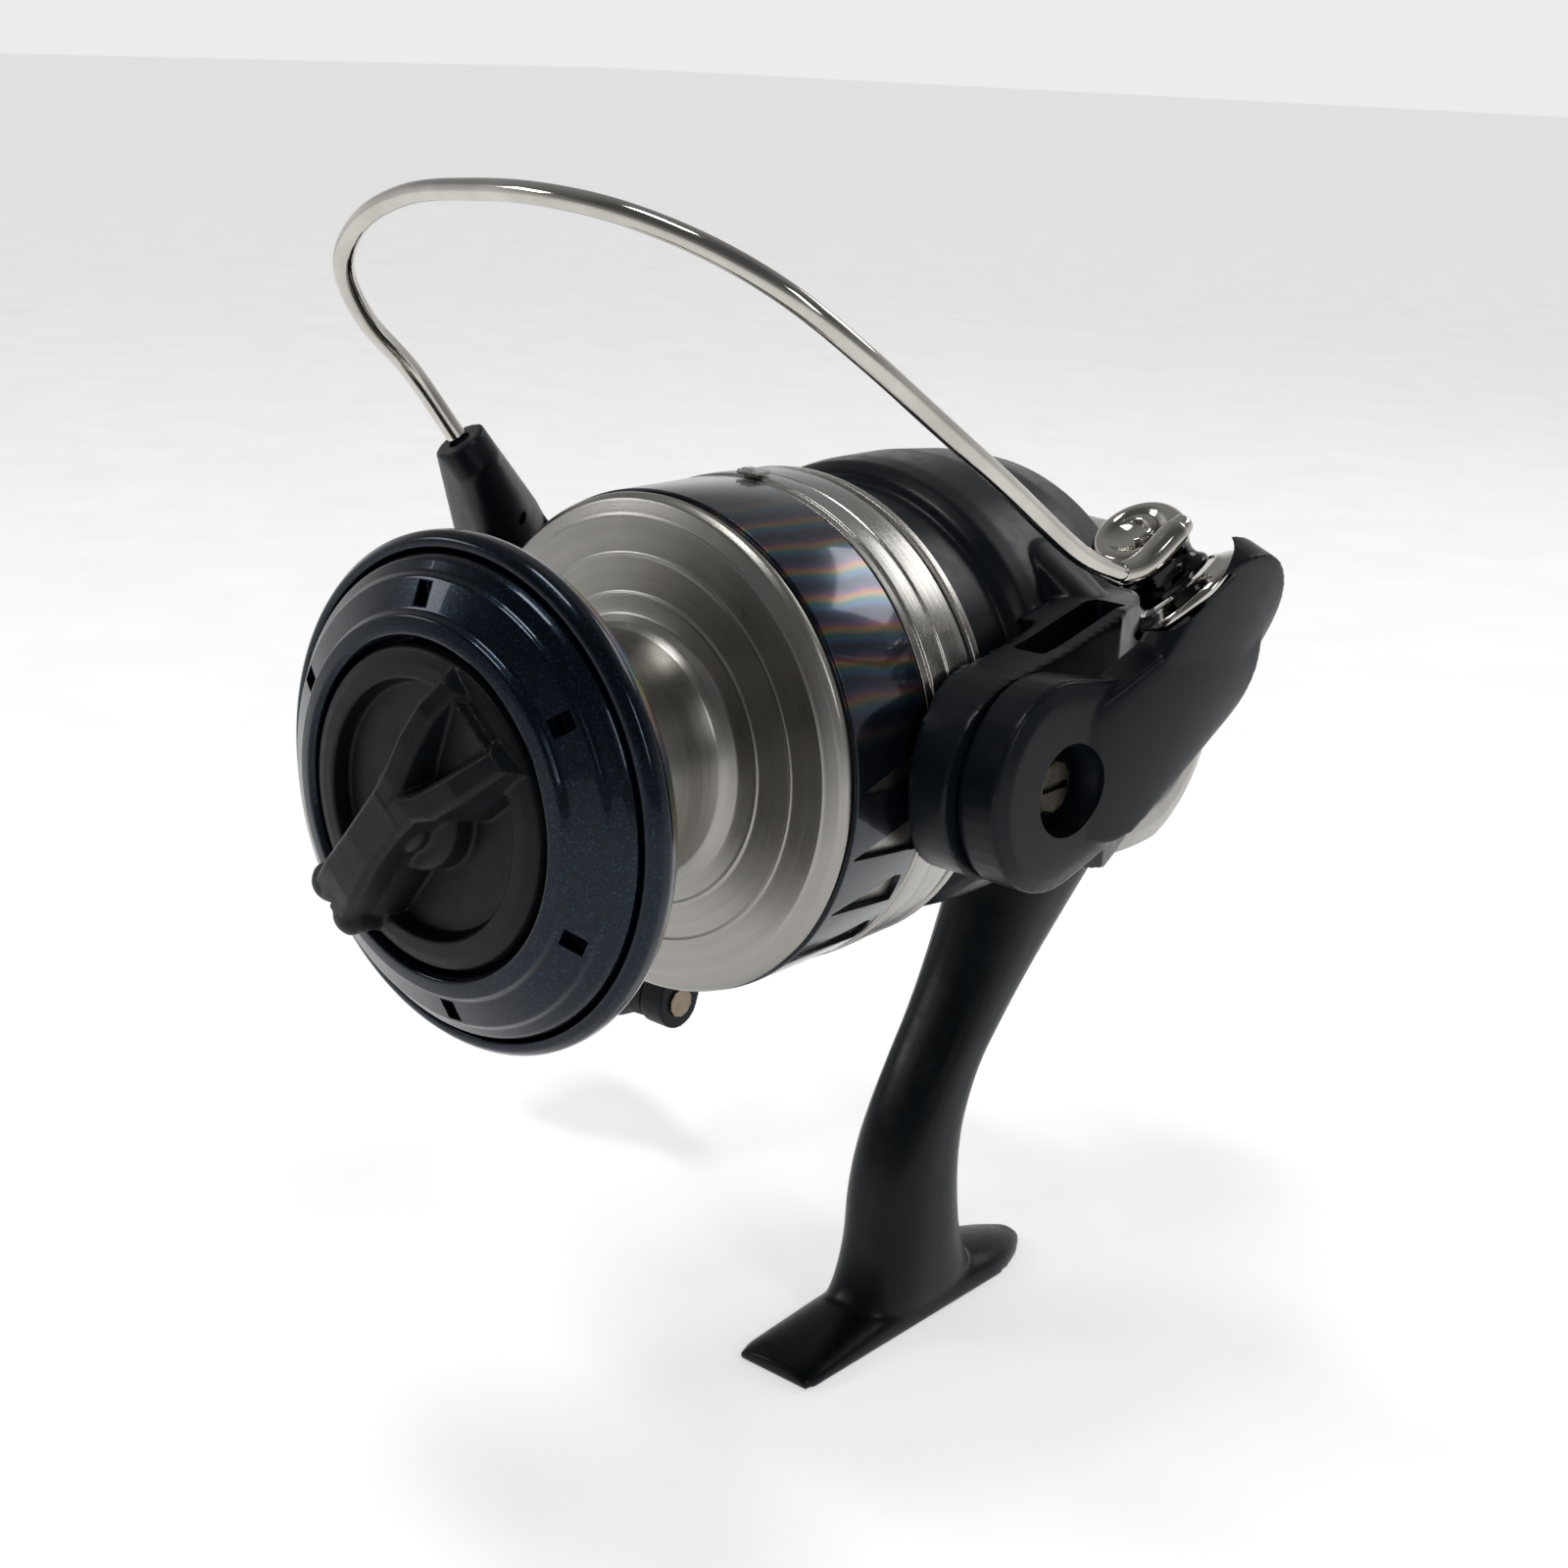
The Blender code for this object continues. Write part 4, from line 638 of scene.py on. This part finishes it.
e1 = (end - ROLL_C) - ROLL_V * (end - ROLL_C).dot(ROLL_V)
rho0, h0 = e1.length, (end - ROLL_C).dot(ROLL_V)
e1.normalize()
e2 = ROLL_V.cross(e1)
if e2.dot(Vector((0.757, 0.652, 0.037))) < 0:
    e2 = -e2
sweep = []
for i in range(1, 12):
    th, u = math.radians(11.5 * i), min(1.0, i / 4.5)
    rho = rho0 + (6.25 - rho0) * (u * u * (3 - 2 * u))
    sweep.append(ROLL_C + ROLL_V * (h0 + (7.35 - h0) * u + 0.1 * i / 11) + (e1 * math.cos(th) + e2 * math.sin(th)) * rho)
flow = catmull([turn_in - away * 1.6, turn_in, end * 0.62 + sweep[2] * 0.38, sweep[3], sweep[4], sweep[5], sweep[6]], 10)
nf = len(flow)
put(tube("v_wire_end", flow, [1.2 + 0.5 * math.sin(math.pi * min(1.0, 1.02 * i / (nf - 1))) ** 2 - 0.6 * max(0.0, (i / (nf - 1) - 0.85) / 0.15) for i in range(nf)], CHROME, 28), "bail", "chrome")
curl = [NC + NV * h + (du * math.cos(math.radians(a)) + dv * math.sin(math.radians(a))) * r for a, r, h in
        ((230, 3.4, 1.9), (190, 2.9, 1.8), (150, 2.4, 1.75), (105, 1.9, 1.7), (50, 1.3, 1.7), (-20, 0.9, 1.7))]
cl = catmull(curl, 8)
put(tube("v_nose_curl", cl, [0.3 + 0.55 * math.sin(math.pi * i / (len(cl) - 1)) for i in range(len(cl))], CHROME, 16), "bail", "chrome")

tip = Vector(WIRE[0])
td = (Vector(WIRE[1]) - tip).normalized()
lever = fuse("v_bail_lever", [
    hull("a", BLACK_ARM, ((-39.5, PIVOT_Y, 0), "X", 9.5, 4.6), ((-39.5, 41.2, 17.8), "X", 5.6, 4.3)),
    hull("b", BLACK_ARM, ((-39.4, 41.2, 17.8), "X", 5.6, 4.3), (tuple(tip - td * 2.6), tuple(td), 3.3, 3.8)),
], BLACK_ARM, 0.28, 6)
lever = cut(lever,
            lathe("c", [(0, -50), (4.2, -50), (4.2, -39.6), (0, -39.6)], BLACK_ARM, "X", (0, PIVOT_Y, 0), 40, 0, False),
            lathe("c", [(0, -50), (2.2, -50), (2.2, -30), (0, -30)], BLACK_ARM, "X", (0, PIVOT_Y, 0), 32, 0, False),
            lathe("c", [(0, -42.5), (0.9, -42.5), (0.9, -30), (0, -30)], BLACK_ARM, "X", (0, 39.6, 20.4), 24, 0, False),
            lathe("c", [(0, 6.0), (1.45, 6.0), (1.45, -1.2), (0, -1.2)], BLACK_ARM, td, tuple(tip), 24, 0, False))
put(lever, "bail", "satin_black", "bail_lever")

# ================================================================== BODY
dome = [(23.2, -8.0), (23.8, -5.0), (24.0, 0.0), (23.8, 6.0), (22.8, 10.0), (21.0, 13.0), (18.0, 15.4), (14.5, 16.9), (9.0, 17.6), (5.2, 17.6), (5.2, 12.5)]
shell = lathe("shell", [(0, -8.0)] + dome + [(0, 12.5)], BODY_BLACK, "X", (0, CY, CZ), 128, 0.8, False)
neck = lathe("neck", [(0, 83.6), (23.0, 83.6), (23.6, 84.2), (23.6, 94.3), (23.0, 94.9), (0, 94.9)], BODY_BLACK, "Y", (0, 0, 0), 128, 0.3, False)
snout = lathe("snout", [(0, 70.0), (14.4, 70.0), (14.4, 84.5), (0, 84.5)], BODY_BLACK, "Y", (0, 0, 0), 96, 0.3, False)
trimc = lathe("tc", [(23.4, 60.0), (46.0, 60.0), (46.0, 94.6), (23.4, 94.6)], BODY_BLACK, "Y", (0, 0, 0), 128, 0)
shell = cut(shell, trimc)
STEM = [(112.0, -27.0, 7.8, 12.0), (109.5, -31.5, 7.8, 13.0), (105.5, -36.5, 7.7, 10.8), (98.6, -45.5, 6.9, 8.0), (93.4, -52.5, 6.3, 6.9), (88.6, -59.0, 6.0, 6.6), (85.2, -65.5, 6.1, 7.0),
        (83.5, -71.0, 6.3, 7.6), (82.9, -77.0, 6.5, 8.3), (83.2, -84.0, 6.6, 9.2), (83.4, -89.5, 6.6, 11.5), (83.2, -93.0, 6.5, 14.5)]
fine = catmull([Vector((y, z, a)) for y, z, a, b in STEM], 5)
fineb = catmull([Vector((b, 0, 0)) for y, z, a, b in STEM], 5)


def rounded(a, b, n=48, power=2.7):
    return [(a * math.copysign(abs(math.cos(t)) ** (2 / power), math.cos(t)), b * math.copysign(abs(math.sin(t)) ** (2 / power), math.sin(t)))
            for t in (math.tau * (i + 0.5) / n for i in range(n))]


stem = loft("stem", [[(u, q.x + v, q.y) for u, v in rounded(q.z, b.x)] for q, b in zip(fine, fineb)], BODY_BLACK)
fsecs = []
FW, FF, FR = 6.6, -26.8, 28.8
for k in range(57):
    y = FF + (FR - FF) * k / 56
    if y < 0:
        h = 2.0 + 3.4 * (1 - y / FF) ** 0.8
        w = FW * (0.90 + 0.10 * min(1, (y - FF) / 2.5))
    else:
        h = 1.6 + 3.8 * max(0.0, 1 - (y / FR) ** 2.2)
        w = FW * max(0.30, (1 - max(0.0, (y - 14.0) / (FR - 14.0)) ** 2.4 * 0.7))
    n = 15
    top = [(w * math.cos(math.pi * i / (n - 1)), h * (0.35 + 0.65 * math.sin(math.pi * i / (n - 1)))) for i in range(n)]
    fsecs.append([(x, y - LIP_Y, z - AXIS_Z) for x, z in [(w, 0.0)] + top + [(-w, 0.0)]])
foot = loft("foot", fsecs, BODY_BLACK)
housing = fuse("v_gear_housing", [shell, neck, snout, stem, foot], BODY_BLACK, 0.42, 5)
cav = lathe("c", [(0, -9.5), (21.7, -9.5), (21.7, 8.6), (19.0, 11.2), (14.8, 12.4), (0, 12.4)], BODY_BLACK, "X", (0, CY, CZ), 64, 0, False)
housing = cut(housing, cav,
              lathe("c", [(0, 82.3), (7.4, 82.3), (7.4, 90), (0, 90)], BODY_BLACK, "Y", (0, 0, 0), 48, 0, False),
              lathe("c", [(0, 60), (11.4, 60), (11.4, 81.9), (0, 81.9)], BODY_BLACK, "Y", (0, 0, 0), 48, 0, False),
              lathe("c", [(0, 80), (5.2, 80), (5.2, 95), (0, 95)], BODY_BLACK, "Y", (0, 0, 0), 40, 0, False),
              lathe("c", [(0, 11), (5.2, 11), (5.2, 20), (0, 20)], BODY_BLACK, "X", (0, CY, CZ), 40, 0, False),
              rbox("c", 7.0, 9.2, 111.0, 119.0, -33.2, -31.6, BODY_BLACK, 0.6, turn=(-35, "X"), at=(8, 115, -32.4)))
put(housing, "reel_body", "satin_black", "gear_housing")

sc = lathe("v_side_cover", [(23.2, -8.3), (22.6, -9.8), (20.8, -12.8), (17.8, -15.2), (14.3, -16.7), (9.0, -17.4), (5.2, -17.4), (5.2, -12.6), (8.0, -12.6), (14.0, -14.6), (17.4, -13.6), (20.0, -11.2), (21.8, -8.3)],
           BODY_BLACK, "X", (0, CY, CZ), 128, 0.5)
sc = cut(sc, lathe("c", [(23.3, 60.0), (46.0, 60.0), (46.0, 94.6), (23.3, 94.6)], BODY_BLACK, "Y", (0, 0, 0), 96, 0), rbox("c", -30, 0, 60, 95.3, -60, 60, BODY_BLACK, 0))
put(sc, "reel_body", "satin_black", "side_cover")

half = [(24.0, 0.0), (23.8, 6.0), (22.8, 10.0), (21.0, 13.0), (18.0, 15.4), (14.5, 16.9), (11.6, 17.4)]
grow = lambda g: [(r + g, h + g * min(1.0, h / 12.0)) for r, h in half]
prof = [(r, -h) for r, h in reversed(grow(1.9))] + grow(1.9)[1:] + [(r, h) for r, h in reversed(grow(0.5))] + [(r, -h) for r, h in grow(0.5)[1:]]
rc = lathe("v_rear_cover", prof, GREY, "X", (0, CY, CZ), 160, 0.45)
groove = lathe("c", [(r + g, h) for r, h, g in ((25.4, 11.2, 0), (25.4, 11.7, 0), (27.5, 11.9, 0), (27.5, 11.0, 0))], GREY, "X", (0, CY, CZ), 160, 0)
rc = cut(rc, rbox("c", -40, 40, 40, 95.4, -80, 60, GREY, 0), rbox("c", -40, 40, 60, 150, -80, -26.8, GREY, 0),
         lathe("c", [(0, 126), (1.6, 126), (1.6, 136), (0, 136)], GREY, "Y", (0, 0, CZ), 24, 0, False),
         lathe("c", [(0, 133.1), (2.6, 133.1), (2.6, 138), (0, 138)], GREY, "Y", (0, 0, CZ), 32, 0, False))
drop(groove)
put(rc, "reel_body", "grey_cover", "rear_cover")

# ================================================================== HANDLE
KX = -50.6
KN = (90.0, -66.0)
harm = fuse("v_handle_arm", [
    hull("a", BLACK, ((KX - 2.6, CY, CZ), "X", 6.5, 4.3), ((KX - 2.6, 99.5, -36.0), "X", 4.3, 4.2)),
    hull("b", BLACK, ((KX - 2.6, 99.5, -36.0), "X", 4.3, 4.2), ((KX - 2.6, KN[0], KN[1]), "X", 4.35, 4.5))], BLACK, 0.25, 4)
harm = cut(harm, lathe("c", [(0, KX - 8), (2.0, KX - 8), (2.0, KX + 3), (0, KX + 3)], BLACK, "X", (0, KN[0], KN[1]), 32, 0, False),
           lathe("c", [(0, KX - 8), (2.5, KX - 8), (2.5, KX - 2.2), (0, KX - 2.2)], BLACK, "X", (0, CY, CZ), 32, 0, False))
put(harm, "crank", "satin_black", "handle_arm")
put(lathe("v_handle_shaft", [(0, -50.35), (3.6, -50.35), (4.4, -49.4), (4.7, -40), (4.9, -30), (5.4, -19.4), (4.6, -18.9), (1.6, -18.7), (1.6, 17.0), (0, 17.0)], CHROME, "X", (0, CY, CZ), 64, 0.3, False), "crank", "chrome", "handle_shaft")
kp_ = [(2.05, KX - 5.4), (3.9, KX - 5.4), (4.1, KX - 9.0)]
for i in range(12):
    h = KX - 12.0 - i * 1.75
    r = 5.6 + 4.6 * math.sin(min(1.0, i / 9.0) * math.pi / 2)
    kp_ += [(r, h), (r - 0.5, h - 0.45), (r - 0.5, h - 0.85), (r + 0.15, h - 1.2)]
kp_ += [(8.6, KX - 33.8), (7.0, KX - 34.7), (2.9, KX - 35.2), (2.9, KX - 32.6), (2.05, KX - 32.3)]
put(lathe("v_handle_knob", kp_, RUBBER, "X", (0, KN[0], KN[1]), 96, 0.25), "handle_knob", "grip_rubber", "handle_knob")
put(lathe("v_handle_cap", [(0, 18.8), (5.6, 18.8), (7.0, 19.6), (7.2, 20.6), (7.2, 23.0), (6.4, 24.0), (3.0, 24.6), (0, 24.6)], BLACK, "X", (0, CY, CZ), 72, 0.4, False), "crank", "satin_black", "handle_screw_cap")

# ================================================================== CAD NODES THAT STAY
LOOK = {"satin_black": BLACK, "gloss_navy": NAVY, "machined_spool": ALU, "chrome": CHROME, "steel": STEEL, "grey_cover": GREY, "brass": BRASS, "cast_zinc": ZINC,
        "felt": FELT, "grip_rubber": RUBBER, "nylon": NYLON, "roller_coat": DARK_CHROME}
slots = {p["node"]: p["material_slot"] for p in frame["record"]["subparts"]}
SPECIAL = {"bail_pivot_screw_right": SCREW, "bail_pivot_screw_left": SCREW, "knob_spindle": TAN}
for name, o in frame["nodes"].items():
    if o.hide_render:
        continue
    m = SPECIAL.get(name, LOOK[slots[name]])
    o.data.materials.clear()
    o.data.materials.append(m)
    b = o.modifiers.new("edge", "BEVEL")
    b.width, b.segments, b.limit_method, b.angle_limit = 0.0001, 2, "ANGLE", math.radians(35)
    o.data.shade_smooth()
    o.data.set_sharp_from_angle(angle=math.radians(35))

# ================================================================== STAGE
floor_m = NT("floor_paper")
fv = floor_m.coords()
fc = floor_m.ramp(floor_m.noise(fv, 30, 4), [(0.3, (0.86, 0.86, 0.86)), (0.7, (0.90, 0.90, 0.90))])
floor_m.link(fc, floor_m.b.inputs["Base Color"])
floor_m.link(fc, floor_m.b.inputs["Emission Color"])
floor_m.link(floor_m.bump(floor_m.noise(fv, 900, 3), 0.05, 0.0002), floor_m.b.inputs["Normal"])
floor_m.set(Roughness=0.95, Emission_Strength=0.62)
floor_m.b.inputs["Specular IOR Level"].default_value = 0.1
bm = bmesh.new()
vs = [bm.verts.new(p) for p in ((-9, -9, -0.0002), (9, -9, -0.0002), (9, 9, -0.0002), (-9, 9, -0.0002))]
bm.faces.new(vs)
floor = link_mesh("floor", bm, floor_m.m)

world = bpy.data.worlds.new("studio")
SC.world = world
world.use_nodes = True
wt = world.node_tree
bg = wt.nodes["Background"]
tc = wt.nodes.new("ShaderNodeTexCoord")
sp = wt.nodes.new("ShaderNodeSeparateXYZ")
mr = wt.nodes.new("ShaderNodeMapRange")
dp = wt.nodes.new("ShaderNodeVectorMath")
dp.operation = "DOT_PRODUCT"
dp.inputs[1].default_value = (-0.644, 0.765, 0.0)
m2 = wt.nodes.new("ShaderNodeMapRange")
mu = wt.nodes.new("ShaderNodeMath")
mu.operation = "MULTIPLY"
wt.links.new(tc.outputs["Generated"], sp.inputs[0])
wt.links.new(tc.outputs["Generated"], dp.inputs[0])
wt.links.new(sp.outputs[2], mr.inputs["Value"])
wt.links.new(dp.outputs["Value"], m2.inputs["Value"])
mr.inputs["From Min"].default_value, mr.inputs["From Max"].default_value = 0.10, 0.45
mr.inputs["To Min"].default_value, mr.inputs["To Max"].default_value = 0.84, 0.30
m2.inputs["From Min"].default_value, m2.inputs["From Max"].default_value = -0.25, 0.55
m2.inputs["To Min"].default_value, m2.inputs["To Max"].default_value = 0.36, 1.0
wt.links.new(mr.outputs["Result"], mu.inputs[0])
wt.links.new(m2.outputs["Result"], mu.inputs[1])
wt.links.new(mu.outputs[0], bg.inputs[1])
bg.inputs[0].default_value = (1.0, 1.0, 1.0, 1)


def area(name, loc, target, size, power, size_y=None, colour=(1, 1, 1)):
    l = bpy.data.lights.new(name, "AREA")
    l.energy, l.size, l.color = power, size, colour
    if size_y:
        l.shape, l.size_y = "RECTANGLE", size_y
    o = bpy.data.objects.new(name, l)
    o.location = loc
    o.rotation_euler = (Vector(loc) - Vector(target)).to_track_quat("Z", "Y").to_euler()
    SC.collection.objects.link(o)
    return o


area("key", (-0.05, -0.20, 0.80), (0, -0.02, 0.09), 0.26, 1.5, 0.12)
area("left", (-0.60, -0.45, 0.45), (0, -0.02, 0.09), 0.24, 0.7, 0.14)
area("right", (0.70, -0.10, 0.50), (0, 0.0, 0.09), 0.14, 0.8, 0.34)
area("back", (0.15, 0.70, 0.60), (0, 0.0, 0.1), 0.4, 1.0, 0.2)

cam = bpy.data.cameras.new("camera")
cam.sensor_width, cam.lens = 36.0, 53.85
cam.clip_start, cam.clip_end = 0.01, 50.0
co = bpy.data.objects.new("camera", cam)
SC.collection.objects.link(co)
R, U, B = Vector((0.75707, 0.65229, 0.03708)), Vector((-0.22417, 0.20602, 0.95253)), Vector((0.61368, -0.72943, 0.30219))
co.matrix_world = Matrix(((R.x, U.x, B.x, 0.18079), (R.y, U.y, B.y, -0.24389), (R.z, U.z, B.z, 0.17464), (0, 0, 0, 1)))
SC.camera = co
SC.view_settings.view_transform = "Standard"

bpy.context.view_layer.update()
